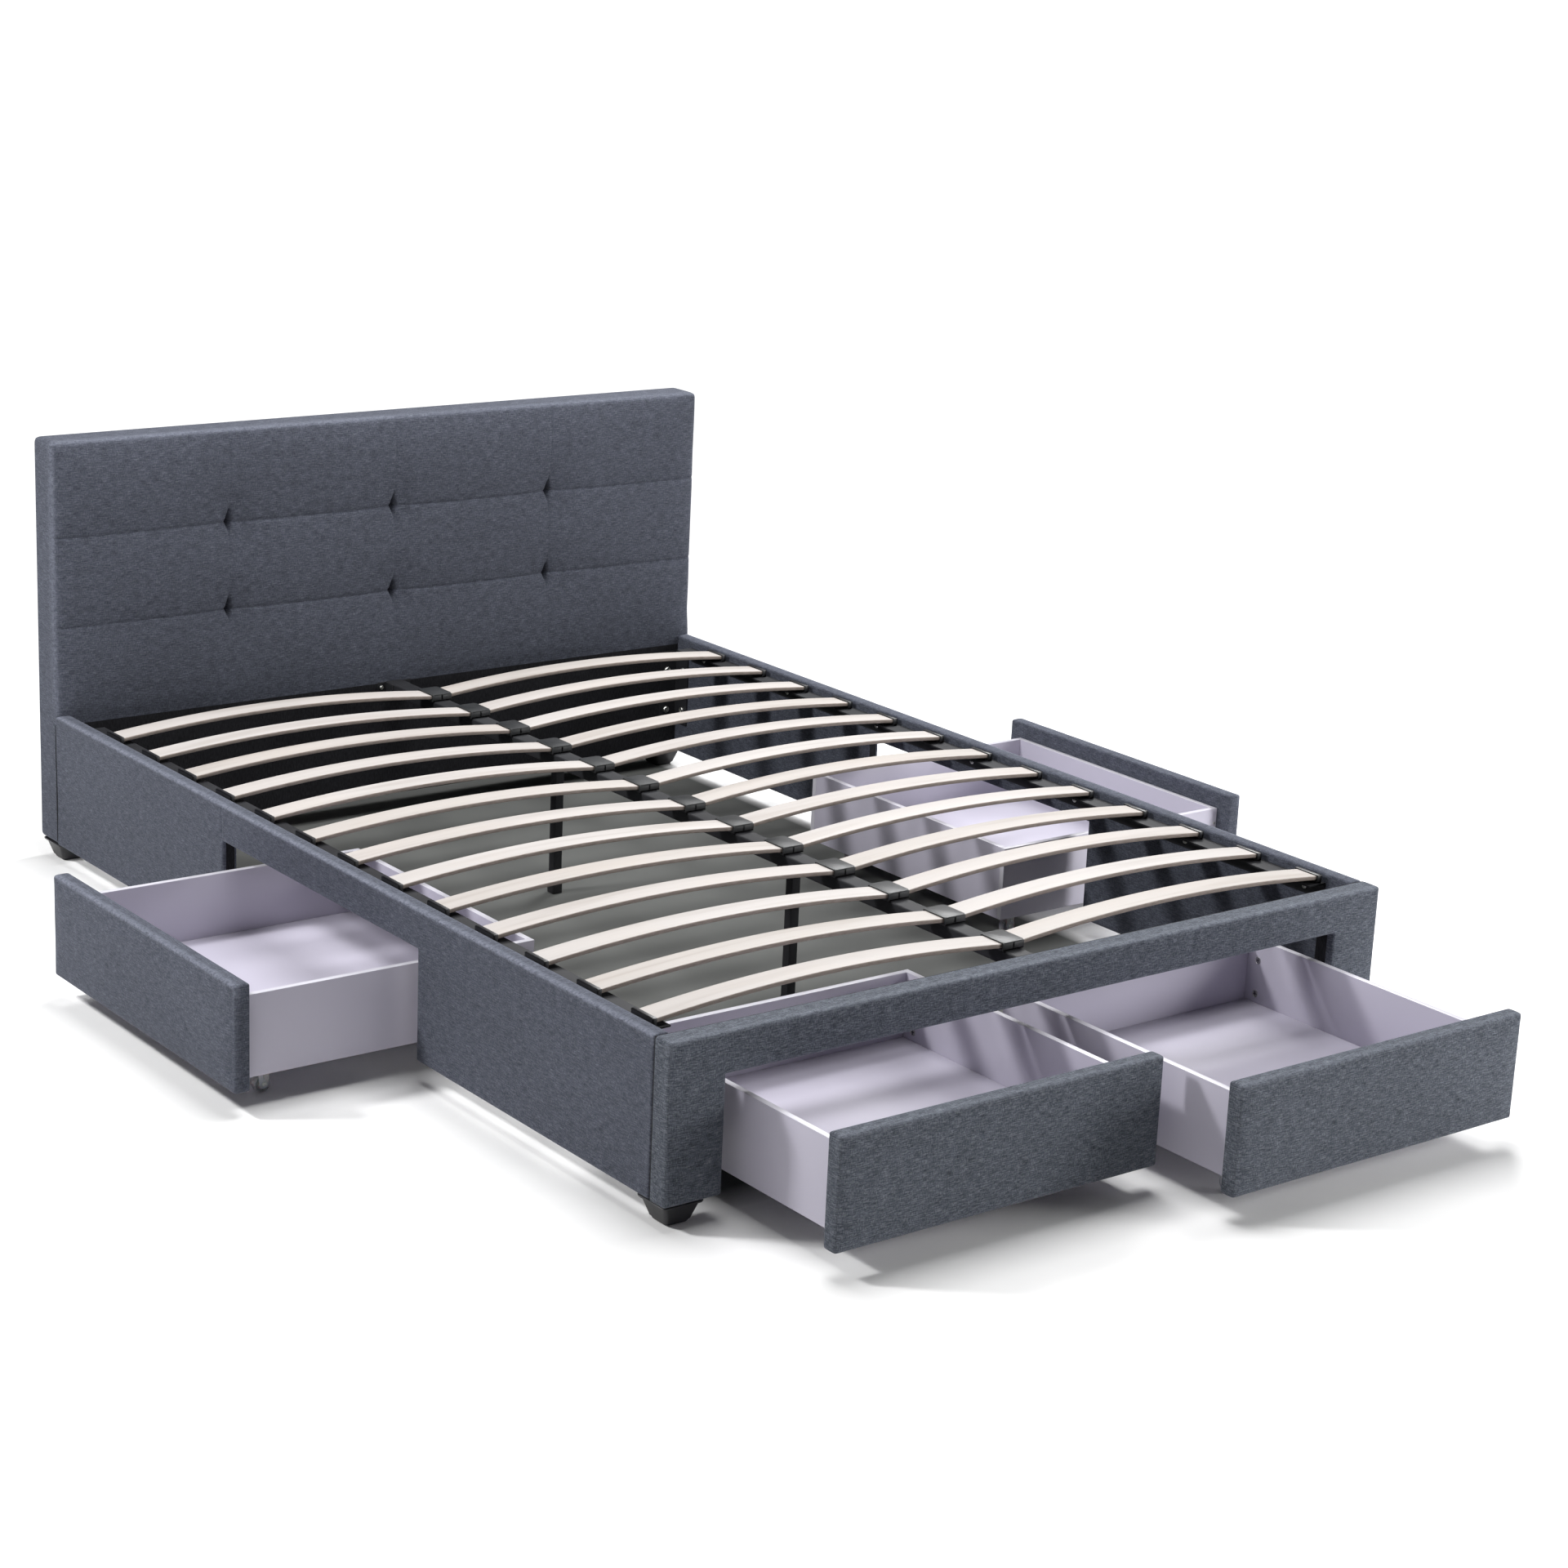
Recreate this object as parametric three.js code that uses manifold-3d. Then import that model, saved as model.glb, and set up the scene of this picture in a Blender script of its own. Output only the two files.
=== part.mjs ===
// Platform bed with an upholstered frame, bowed slats and four drawers that roll on the floor.
// Millimetres, +Z up. Bed coordinates: X across the bed from its centre line, Y from the front
// face of the foot panel towards the headboard, Z up from the floor. The exported group shifts
// them so that the origin lies on the floor under the middle of the whole object.

import * as THREE from "three";
import { mergeVertices } from "three/addons/utils/BufferGeometryUtils.js";
import Module from "manifold-3d";

const wasm = await Module();
wasm.setup();

// ---------------------------------------------------------------- driving dimensions

const GAP = 0.3; // left between pieces that touch
const JOIN = 1; // overlap of shapes that become one solid

const BED_WIDTH = 1600;
const BED_LENGTH = 2190; // front of the foot panel to front of the headboard
const HALF_WIDTH = BED_WIDTH / 2;

const PANEL_BOTTOM = 40; // underside of every upholstered panel of the frame
const RAIL_TOP = 320;
const RAIL_THICKNESS = 32;
const FOOT_PANEL_THICKNESS = 45;
const PANEL_ROUND = 6; // soft edge of the upholstered panels
const OPENING_TOP = 246; // drawer openings, in the foot panel and the rails
const POST_WIDTH = 114; // each end of the foot panel, beside its opening
const SIDE_OPENING = { start: 757, end: 1469 }; // along the rail

const HEADBOARD = { height: 890, thickness: 88, round: 14 };

const CORNER_FOOT = { top: 80, sole: 45, inset: 3 };

const SLAT = { rows: 13, first: 138, pitch: 156.5, width: 53, thickness: 8, rise: 20 };
const SLAT_END = { outer: 752, inner: 22, underside: 308 }; // from the centre line, and up

const LEDGER = { top: 303, width: 45, depth: 33, sheet: 3, endClearance: 60 };
const BEAM = { top: 303, width: 40, depth: 25, wall: 2 };
const CENTRE_LEG = { side: 20, capSide: 24, capHeight: 22, places: [730, 1531] };

const FRONT = { bottom: 44, top: 240, thickness: 32, round: 6 };
const BOX = { bottom: 55, top: 205, wall: 12, base: 5, baseLow: 78 }; // base let into the walls
const CASTOR = {
  wheelRadius: 16.5,
  wheelWidth: 14,
  wheelChamfer: 2,
  boreRadius: 3.4,
  pinRadius: 2.9,
  cheek: 2,
  cheekClearance: 1.5,
  cheekWidth: 28,
  cheekEndRadius: 8,
  plate: { length: 42, width: 34, thickness: 2 },
  fromFront: 70, // axle behind the back of the drawer front
  fromBack: 70, // axle in front of the back of the box
  fromSide: 58, // wheel's middle plane inside the side of the box
};

// Each drawer: the width of its front, its box, and how far it stands out at rest.
const FOOT_DRAWER = { frontWidth: 676, sideInset: 36, boxDepth: 590 };
const SIDE_DRAWER = { frontWidth: 700, sideInset: 36, boxDepth: 590 };
const FOOT_DRAWER_CENTRE = 343; // from the centre line
const SIDE_DRAWER_CENTRE = (SIDE_OPENING.start + SIDE_OPENING.end) / 2;
const DRAWN_OUT = { footLeft: 285, footRight: 452, left: 351, right: 409 };

// ---------------------------------------------------------------- finishes

const finish = (color, roughness, metalness = 0) =>
  new THREE.MeshStandardMaterial({ color, roughness, metalness });

const slateLinen = finish(0x4a5060, 0.95);
const slateLinenFoot = finish(0x4f5860, 0.95);
const birch = finish(0xd9d2cd, 0.55);
const blackSteel = finish(0x1b1c1f, 0.45, 0.6);
const blackPlastic = finish(0x141416, 0.5);
const melamine = finish(0xd6d1e2, 0.35);
const greyWheel = finish(0x8f9296, 0.3);

// ---------------------------------------------------------------- solids

function toManifold(geometry) {
  const bare = geometry.clone();
  bare.deleteAttribute("normal");
  bare.deleteAttribute("uv");
  const merged = mergeVertices(bare, 1e-4);
  const vertProperties = new Float32Array(merged.attributes.position.array);
  const triVerts = new Uint32Array(merged.index.array);
  return new wasm.Manifold(new wasm.Mesh({ numProp: 3, vertProperties, triVerts }));
}

function fromManifold(manifold) {
  const mesh = manifold.getMesh();
  const geometry = new THREE.BufferGeometry();
  geometry.setAttribute("position", new THREE.BufferAttribute(mesh.vertProperties, 3));
  geometry.setIndex(new THREE.BufferAttribute(mesh.triVerts, 1));
  geometry.computeVertexNormals();
  return geometry;
}

function join(geometries) {
  const solids = geometries.map(toManifold);
  return fromManifold(solids.reduce((whole, next) => whole.add(next)));
}

// A plain block given by its low and high corner.
function block(low, high) {
  const size = high.map((value, axis) => value - low[axis]);
  const centre = high.map((value, axis) => (value + low[axis]) / 2);
  return new THREE.BoxGeometry(...size).translate(...centre);
}

function outline(points) {
  return new THREE.Shape(points.map(([a, b]) => new THREE.Vector2(a, b)));
}

// A panel with soft edges. The outline's first axis runs along the panel and its second one
// goes up; low is where the panel's thickness starts on the remaining axis.
function softPanel(points, thickness, round, facing, low) {
  const panel = new THREE.ExtrudeGeometry(outline(points), {
    depth: thickness - 2 * round,
    bevelThickness: round,
    bevelSize: round,
    bevelOffset: -round,
    bevelSegments: 3,
  });
  const up = new THREE.Vector3(0, 0, 1);
  if (facing === "y") {
    const basis = new THREE.Matrix4();
    basis.makeBasis(new THREE.Vector3(1, 0, 0), up, new THREE.Vector3(0, -1, 0));
    return panel.applyMatrix4(basis).translate(0, low + thickness - round, 0);
  }
  const basis = new THREE.Matrix4();
  basis.makeBasis(new THREE.Vector3(0, 1, 0), up, new THREE.Vector3(1, 0, 0));
  return panel.applyMatrix4(basis).translate(low + round, 0, 0);
}

function rectangle(left, right, bottom, top) {
  return [
    [left, bottom],
    [right, bottom],
    [right, top],
    [left, top],
  ];
}

// A rail on two posts: a rectangle with an opening that reaches down to its bottom edge.
function portal(left, right, openingLeft, openingRight) {
  return [
    [left, PANEL_BOTTOM],
    [openingLeft, PANEL_BOTTOM],
    [openingLeft, OPENING_TOP],
    [openingRight, OPENING_TOP],
    [openingRight, PANEL_BOTTOM],
    [right, PANEL_BOTTOM],
    [right, RAIL_TOP],
    [left, RAIL_TOP],
  ];
}

function named(name, geometry, material) {
  const mesh = new THREE.Mesh(geometry, material);
  mesh.name = name;
  return mesh;
}

// ---------------------------------------------------------------- upholstered frame

function headboard() {
  const face = rectangle(-HALF_WIDTH, HALF_WIDTH, PANEL_BOTTOM, HEADBOARD.height);
  const { thickness, round } = HEADBOARD;
  return named("headboard", softPanel(face, thickness, round, "y", BED_LENGTH), slateLinen);
}

function footPanel() {
  const opening = HALF_WIDTH - POST_WIDTH;
  const face = portal(-HALF_WIDTH, HALF_WIDTH, -opening, opening);
  const panel = softPanel(face, FOOT_PANEL_THICKNESS, PANEL_ROUND, "y", 0);
  return named("foot_panel", panel, slateLinenFoot);
}

// The steel angle that carries the outer slat ends is bolted to the rail and is one solid with it.
function sideRail(side, sign) {
  const start = FOOT_PANEL_THICKNESS + GAP;
  const end = BED_LENGTH - GAP;
  const face = portal(start, end, SIDE_OPENING.start, SIDE_OPENING.end);
  const inner = HALF_WIDTH - RAIL_THICKNESS;
  const low = sign > 0 ? inner : -HALF_WIDTH;
  const panel = softPanel(face, RAIL_THICKNESS, PANEL_ROUND, "x", low);
  const span = [start + LEDGER.endClearance, end - LEDGER.endClearance];
  const leg = (reach, drop) => {
    const across = [sign * (inner + JOIN), sign * (inner - reach)].sort((a, b) => a - b);
    return block(
      [across[0], span[0], LEDGER.top - drop],
      [across[1], span[1], LEDGER.top]
    );
  };
  const ledger = [leg(LEDGER.width, LEDGER.sheet), leg(LEDGER.sheet, LEDGER.depth)];
  return named(`side_rail_${side}`, join([panel, ...ledger]), slateLinen);
}

function cornerFoot(name, x, y) {
  const height = PANEL_BOTTOM - GAP;
  const corner = Math.SQRT1_2; // half diagonal of a square of side 1
  const foot = new THREE.CylinderGeometry(
    CORNER_FOOT.top * corner,
    CORNER_FOOT.sole * corner,
    height,
    4
  );
  foot.rotateY(Math.PI / 4).rotateX(Math.PI / 2).translate(x, y, height / 2);
  return named(`corner_foot_${name}`, foot, blackPlastic);
}

function cornerFeet() {
  const reach = CORNER_FOOT.inset + CORNER_FOOT.top / 2;
  const x = HALF_WIDTH - reach;
  const head = BED_LENGTH + HEADBOARD.thickness - reach;
  return [
    cornerFoot("foot_left", -x, reach),
    cornerFoot("foot_right", x, reach),
    cornerFoot("head_left", -x, head),
    cornerFoot("head_right", x, head),
  ];
}

// ---------------------------------------------------------------- slats and centre beam

// A slat is bent to an arc: its ends lie at the same height and its middle stands up by the rise.
function slatGeometry() {
  const span = SLAT_END.outer - SLAT_END.inner;
  const radius = (span * span) / (8 * SLAT.rise) + SLAT.rise / 2;
  const half = Math.asin(span / 2 / radius);
  const centre = SLAT.rise - radius;
  const up = Math.PI / 2;
  const profile = new THREE.Shape();
  profile.absarc(0, centre, radius, up - half, up + half, false);
  profile.absarc(0, centre, radius + SLAT.thickness, up + half, up - half, true);
  const slat = new THREE.ExtrudeGeometry(profile, {
    depth: SLAT.width,
    bevelEnabled: false,
    curveSegments: 8,
  });
  return slat.rotateX(Math.PI / 2).translate(0, SLAT.width / 2, SLAT_END.underside);
}

function slats() {
  const made = [];
  const middle = (SLAT_END.outer + SLAT_END.inner) / 2;
  for (let row = 0; row < SLAT.rows; row += 1) {
    for (const [side, sign] of [["left", -1], ["right", 1]]) {
      const slat = named(`slat_${side}_${row + 1}`, slatGeometry(), birch);
      slat.position.set(sign * middle, SLAT.first + row * SLAT.pitch, 0);
      made.push(slat);
    }
  }
  return made;
}

// An open steel tube with two square legs under it.
function centreBeam() {
  const { width, depth, wall, top } = BEAM;
  const tube = outline(rectangle(-width / 2, width / 2, top - depth, top));
  const hollow = rectangle(-width / 2 + wall, width / 2 - wall, top - depth + wall, top - wall);
  tube.holes.push(outline(hollow));
  const start = FOOT_PANEL_THICKNESS + GAP;
  const length = BED_LENGTH - GAP - start;
  const beam = new THREE.ExtrudeGeometry(tube, { depth: length, bevelEnabled: false });
  beam.rotateX(Math.PI / 2).translate(0, start + length, 0);
  const post = (y, side, low, high) =>
    block([-side / 2, y - side / 2, low], [side / 2, y + side / 2, high]);
  const legs = CENTRE_LEG.places.flatMap((y) => [
    post(y, CENTRE_LEG.side, CENTRE_LEG.capHeight - JOIN, top - depth + JOIN),
    post(y, CENTRE_LEG.capSide, 0, CENTRE_LEG.capHeight),
  ]);
  return named("centre_beam", join([beam, ...legs]), blackSteel);
}

// ---------------------------------------------------------------- drawers
// A drawer's own coordinates: X across its front, Y from the front's face into the bed.

function drawerFront(name, drawer) {
  const half = drawer.frontWidth / 2;
  const face = rectangle(-half, half, FRONT.bottom, FRONT.top);
  const panel = softPanel(face, FRONT.thickness, FRONT.round, "y", 0);
  return named(`drawer_front_${name}`, panel, slateLinen);
}

// Where the four wheels of a drawer turn, in the drawer's own coordinates.
function castorPlaces(drawer) {
  const x = drawer.frontWidth / 2 - drawer.sideInset - CASTOR.fromSide;
  const near = FRONT.thickness + CASTOR.fromFront;
  const far = FRONT.thickness + drawer.boxDepth - CASTOR.fromBack;
  return [
    ["front_left", -x, near],
    ["front_right", x, near],
    ["back_left", -x, far],
    ["back_right", x, far],
  ];
}

// A plate under the base, two cheeks and the axle pin.
function castorFork(x, y) {
  const { wheelRadius, wheelWidth, cheek, cheekClearance, plate } = CASTOR;
  const plateTop = BOX.baseLow + JOIN;
  const plateLow = BOX.baseLow - plate.thickness;
  const seat = block(
    [x - plate.width / 2, y - plate.length / 2, plateLow],
    [x + plate.width / 2, y + plate.length / 2, plateTop]
  );
  const half = CASTOR.cheekWidth / 2;
  const side = new THREE.Shape();
  side.moveTo(-half, plateLow + JOIN);
  side.absarc(0, wheelRadius, CASTOR.cheekEndRadius, Math.PI, 2 * Math.PI, false);
  side.lineTo(half, plateLow + JOIN);
  const standing = new THREE.Matrix4().makeBasis(
    new THREE.Vector3(0, 1, 0),
    new THREE.Vector3(0, 0, 1),
    new THREE.Vector3(1, 0, 0)
  );
  const inner = wheelWidth / 2 + cheekClearance;
  const cheeks = [-inner - cheek, inner].map((low) =>
    new THREE.ExtrudeGeometry(side, { depth: cheek, bevelEnabled: false, curveSegments: 6 })
      .applyMatrix4(standing)
      .translate(x + low, y, 0)
  );
  const pin = new THREE.CylinderGeometry(
    CASTOR.pinRadius,
    CASTOR.pinRadius,
    2 * (inner + cheek) - JOIN,
    10
  );
  pin.rotateZ(Math.PI / 2).translate(x, y, wheelRadius);
  return [seat, ...cheeks, pin];
}

function drawerBox(name, drawer) {
  const half = drawer.frontWidth / 2 - drawer.sideInset;
  const start = FRONT.thickness + GAP;
  const end = FRONT.thickness + drawer.boxDepth;
  const { bottom, top, wall, base, baseLow } = BOX;
  const walls = [
    block([-half, start, bottom], [-half + wall, end, top]),
    block([half - wall, start, bottom], [half, end, top]),
    block([-half + wall - JOIN, start, bottom], [half - wall + JOIN, start + wall, top]),
    block([-half + wall - JOIN, end - wall, bottom], [half - wall + JOIN, end, top]),
    block(
      [-half + wall - JOIN, start + wall - JOIN, baseLow],
      [half - wall + JOIN, end - wall + JOIN, baseLow + base]
    ),
  ];
  const forks = castorPlaces(drawer).flatMap(([, x, y]) => castorFork(x, y));
  return named(`drawer_box_${name}`, join([...walls, ...forks]), melamine);
}

// A wheel turned about the X axis, with a bevelled tread and a bore for the pin.
function wheelGeometry() {
  const { wheelRadius, wheelWidth, wheelChamfer, boreRadius } = CASTOR;
  const half = wheelWidth / 2;
  const profile = [
    [boreRadius, -half],
    [wheelRadius - wheelChamfer, -half],
    [wheelRadius, wheelChamfer - half],
    [wheelRadius, half - wheelChamfer],
    [wheelRadius - wheelChamfer, half],
    [boreRadius, half],
    [boreRadius, -half],
  ].map(([r, along]) => new THREE.Vector2(r, along));
  return new THREE.LatheGeometry(profile, 20).rotateZ(Math.PI / 2);
}

function castorWheels(name, drawer) {
  return castorPlaces(drawer).map(([place, x, y]) => {
    const wheel = named(`wheel_${name}_${place}`, wheelGeometry(), greyWheel);
    wheel.position.set(x, y, CASTOR.wheelRadius);
    return wheel;
  });
}

function drawer(name, kind, x, y, turn) {
  const group = new THREE.Group();
  group.add(drawerFront(name, kind), drawerBox(name, kind), ...castorWheels(name, kind));
  group.position.set(x, y, 0);
  group.rotation.z = turn;
  return group;
}

function drawers() {
  const quarter = Math.PI / 2;
  const { footLeft, footRight, left, right } = DRAWN_OUT;
  return [
    drawer("foot_left", FOOT_DRAWER, -FOOT_DRAWER_CENTRE, -footLeft, 0),
    drawer("foot_right", FOOT_DRAWER, FOOT_DRAWER_CENTRE, -footRight, 0),
    drawer("left", SIDE_DRAWER, -HALF_WIDTH - left, SIDE_DRAWER_CENTRE, -quarter),
    drawer("right", SIDE_DRAWER, HALF_WIDTH + right, SIDE_DRAWER_CENTRE, quarter),
  ];
}

// ---------------------------------------------------------------- the whole bed

const bed = new THREE.Group();
bed.add(headboard(), footPanel(), sideRail("left", -1), sideRail("right", 1));
bed.add(...cornerFeet(), centreBeam(), ...slats(), ...drawers());

const middleX = (DRAWN_OUT.right - DRAWN_OUT.left) / 2;
const middleY = (BED_LENGTH + HEADBOARD.thickness - DRAWN_OUT.footRight) / 2;
bed.position.set(-middleX, -middleY, 0);

const whole = new THREE.Group();
whole.add(bed);

export default whole;
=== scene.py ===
"""Looks of the upholstered platform bed with four drawers that roll on the floor.

Lengths are in metres. Bed coordinates have X across from the centre line, Y from the front face
of the foot panel to the headboard and Z up. Drawer coordinates have X across the front and Y from
the front's face into the bed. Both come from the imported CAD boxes.
"""

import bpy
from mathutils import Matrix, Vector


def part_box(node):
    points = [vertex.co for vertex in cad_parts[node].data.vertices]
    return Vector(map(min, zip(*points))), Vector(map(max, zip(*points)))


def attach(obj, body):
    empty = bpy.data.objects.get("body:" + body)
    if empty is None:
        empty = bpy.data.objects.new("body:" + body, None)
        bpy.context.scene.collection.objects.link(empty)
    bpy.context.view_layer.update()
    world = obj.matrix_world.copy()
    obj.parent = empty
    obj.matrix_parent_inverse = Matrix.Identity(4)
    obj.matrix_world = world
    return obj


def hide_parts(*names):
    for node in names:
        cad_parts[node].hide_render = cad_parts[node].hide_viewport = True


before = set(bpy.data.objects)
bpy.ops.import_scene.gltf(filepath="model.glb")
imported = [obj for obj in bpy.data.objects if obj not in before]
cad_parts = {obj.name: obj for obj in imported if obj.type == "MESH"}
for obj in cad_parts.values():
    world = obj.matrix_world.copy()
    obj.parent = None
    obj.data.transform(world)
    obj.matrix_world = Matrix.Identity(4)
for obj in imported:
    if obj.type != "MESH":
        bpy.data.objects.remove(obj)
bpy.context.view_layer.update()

import math

import bmesh
import bpy
import numpy as np
from mathutils import Matrix, Vector

scene = bpy.context.scene

# ------------------------------------------------------------------ places from the CAD

FOOT_LOW, FOOT_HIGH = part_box("foot_panel")
HEAD_LOW, HEAD_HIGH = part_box("headboard")
RAIL_LOW, RAIL_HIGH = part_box("side_rail_left")
BED = Matrix.Translation(((FOOT_LOW.x + FOOT_HIGH.x) / 2, FOOT_LOW.y, 0))
HALF_WIDTH = (FOOT_HIGH.x - FOOT_LOW.x) / 2
LENGTH = HEAD_LOW.y - FOOT_LOW.y
FOOT_THICK = FOOT_HIGH.y - FOOT_LOW.y
HEAD_THICK = HEAD_HIGH.y - HEAD_LOW.y
HEAD_TOP = HEAD_HIGH.z
PANEL_LOW = FOOT_LOW.z
RAIL_TOP = FOOT_HIGH.z
BEAM_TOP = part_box("centre_beam")[1].z

# Shapes inside the CAD solids, which a box can't tell.
RAIL_THICK = 0.032
OPENING_TOP = 0.246
POST = 0.114
SIDE_OPENING = (0.757, 1.469)
BOX_LOW, BOX_TOP, WALL = 0.055, 0.205, 0.012
BASE_LOW, BASE = 0.078, 0.005  # the base is let into the walls
FRONT_THICK = 0.032
WHEEL_RADIUS = 0.0165
BEAM_SIZE = (0.040, 0.025)
LEG_SIDE, LEG_CAP, LEG_CAP_TOP = 0.020, 0.024, 0.022
LEG_PLACES = (0.730, 1.531)
LEDGER_WIDTH, LEDGER_DROP, LEDGER_SHEET = 0.045, 0.033, 0.003
SLAT_WIDTH, SLAT_THICK, SLAT_RISE = 0.053, 0.008, 0.020
SLAT_ROWS = 13
TUFT_X = (-0.400, 0.0, 0.400)
TUFT_Z = (0.504, 0.692)
TUFTS = [(x, z) for x in TUFT_X for z in TUFT_Z]
BOX_INSET, BOX_DEPTH = 0.036, 0.590
# Each drawer's front width, and how far it is turned from facing the foot.
DRAWERS = {
    "foot_left": (0.676, 0.0),
    "foot_right": (0.676, 0.0),
    "left": (0.700, -math.pi / 2),
    "right": (0.700, math.pi / 2),
}


def drawer_matrix(name):
    """Drawer coordinates to the row frame, from the box of the drawer's front."""
    low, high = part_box(f"drawer_front_{name}")
    mid = (low + high) / 2
    turn = DRAWERS[name][1]
    if turn == 0:
        place = (mid.x, low.y, 0)
    elif turn < 0:
        place = (low.x, mid.y, 0)
    else:
        place = (high.x, mid.y, 0)
    return Matrix.Translation(place) @ Matrix.Rotation(turn, 4, "Z")


# ------------------------------------------------------------------ material helpers


class Nodes:
    """Short ways to write the node tree of a material or a world."""

    def __init__(self, owner):
        owner.use_nodes = True
        self.owner, self.tree = owner, owner.node_tree

    def set(self, node, inputs):
        """Gives input sockets their values, or links the outputs that stand for them."""
        for key, value in inputs.items():
            socket = node.inputs[key]
            if isinstance(value, bpy.types.NodeSocket):
                self.tree.links.new(value, socket)
            else:
                socket.default_value = (*value, 1) if socket.type == "RGBA" else value
        return node

    def add(self, kind, inputs=(), **settings):
        node = self.tree.nodes.new(kind)
        for key, value in settings.items():
            setattr(node, key, value)
        return self.set(node, dict(inputs))

    def uv(self):
        return self.add("ShaderNodeUVMap", uv_map="cloth").outputs["UV"]

    def place(self):
        return self.add("ShaderNodeTexCoord").outputs["Object"]

    def parts(self, vector):
        """The X, Y and Z of a vector."""
        return self.add("ShaderNodeSeparateXYZ", {0: vector}).outputs[:]

    def scaled(self, source, scale, rotation=0.0, offset=(0, 0, 0)):
        inputs = {"Vector": source, "Scale": scale, "Rotation": (0, 0, rotation), "Location": offset}
        return self.add("ShaderNodeMapping", inputs).outputs["Vector"]

    def noise(self, source, scale=1.0, detail=2.0, roughness=0.5, distortion=0.0):
        inputs = {"Vector": source, "Scale": scale, "Detail": detail}
        inputs |= {"Roughness": roughness, "Distortion": distortion}
        return self.add("ShaderNodeTexNoise", inputs).outputs["Fac"]

    def math(self, operation, a, b=0.5):
        return self.add("ShaderNodeMath", {0: a, 1: b}, operation=operation).outputs[0]

    def ramp(self, source, stops):
        node = self.add("ShaderNodeValToRGB", {"Fac": source})
        while len(node.color_ramp.elements) < len(stops):
            node.color_ramp.elements.new(0.5)
        for element, (position, colour) in zip(node.color_ramp.elements, stops):
            element.position = position
            element.color = (*colour, 1)
        return node.outputs["Color"]

    def mix(self, factor, a, b, blend="MIX"):
        inputs = {0: factor, 6: a, 7: b}
        return self.add("ShaderNodeMix", inputs, data_type="RGBA", blend_type=blend).outputs[2]

    def span(self, source, low, high, to_low, to_high):
        """Carries low to to_low and high to to_high, and stops at both."""
        inputs = dict(enumerate((source, low, high, to_low, to_high)))
        return self.add("ShaderNodeMapRange", inputs).outputs[0]

    def bump(self, height, strength, distance):
        inputs = {"Height": height, "Strength": strength, "Distance": distance}
        return self.add("ShaderNodeBump", inputs).outputs["Normal"]

    def finish(self, colour, roughness=None, normal=None):
        found = {"Base Color": colour, "Roughness": roughness, "Normal": normal}
        self.set(self.shader, {key: value for key, value in found.items() if value is not None})
        return self.owner


def surface(name, colour, roughness, **sockets):
    """The nodes of a new material, with its shader's sockets set."""
    n = Nodes(bpy.data.materials.new(name))
    n.shader = n.tree.nodes["Principled BSDF"]
    named = {key.replace("_", " "): value for key, value in sockets.items()}
    n.set(n.shader, {"Base Color": colour, "Roughness": roughness, **named})
    return n


# ------------------------------------------------------------------ materials


def linen(name, dark, middle, light, spread):
    """A melange weave of slubby threads, across and along, its rounded crests given a painted
    highlight.
    """
    sheen = {"Sheen_Weight": 0.09, "Sheen_Roughness": 0.45, "Sheen_Tint": (0.80, 0.84, 0.95)}
    n = surface(name, middle, 0.92, Specular_IOR_Level=0.15, **sheen)
    uv = n.uv()
    weft = n.noise(n.scaled(uv, (62, 560, 1)), detail=3.0, roughness=0.6)
    warp = n.noise(n.scaled(uv, (590, 130, 1), offset=(7, 3, 0)), detail=3.0, roughness=0.6)
    speck = n.noise(n.scaled(uv, (330, 330, 1), offset=(1, 9, 0)), detail=2.0)
    threads = n.math("ADD", n.math("MULTIPLY", weft, 0.50), n.math("MULTIPLY", warp, 0.32))
    threads = n.math("ADD", threads, n.math("MULTIPLY", speck, 0.18))
    colour = n.ramp(threads, [(0.50 - spread, dark), (0.50, middle), (0.50 + spread, light)])
    flecks = n.noise(n.scaled(uv, (210, 260, 1), offset=(3, 5, 0)), detail=1.0)
    green = tuple(c * f for c, f in zip(light, (0.92, 1.04, 0.86)))
    colour = n.mix(n.span(flecks, 0.58, 0.72, 0.0, 0.40), colour, green)
    patches = n.noise(n.scaled(uv, (46, 62, 1)), detail=3.0)
    wide = n.noise(n.scaled(uv, (3.1, 4.2, 1), offset=(4, 2, 0)), detail=2.0)
    tone = n.math("ADD", n.span(patches, 0.3, 0.7, 0.85, 1.15), n.span(wide, 0.3, 0.7, -0.05, 0.05))
    grey = n.add("ShaderNodeCombineXYZ", {0: tone, 1: tone, 2: tone}).outputs[0]
    colour = n.mix(1.0, colour, grey, "MULTIPLY")
    # Painted highlight: the rounded crests are mixed toward a paler colour, by a strength stored on
    # the mesh, standing in for light caught on the edges.
    crest_lit = n.add("ShaderNodeAttribute", attribute_name="crest_highlight").outputs["Fac"]
    fuzz = n.span(n.noise(n.scaled(uv, (170, 170, 1)), detail=3.0), 0.34, 0.62, 0.25, 1.0)
    pale = tuple(c * 1.9 for c in light)
    colour = n.mix(n.math("MULTIPLY", crest_lit, fuzz), colour, pale)
    thread_pair = 0.0013
    turns = 2 * math.pi / thread_pair
    across, along = (n.math("SINE", n.math("MULTIPLY", part, turns)) for part in n.parts(uv)[:2])
    weave = n.math("MULTIPLY", across, along)
    height = n.math("ADD", n.math("MULTIPLY", weave, 0.22), n.math("MULTIPLY", threads, 2.2))
    rough = n.span(threads, 0.3, 0.7, 0.97, 0.86)
    return n.finish(colour, rough, n.bump(height, 0.60, 0.0006))


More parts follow.
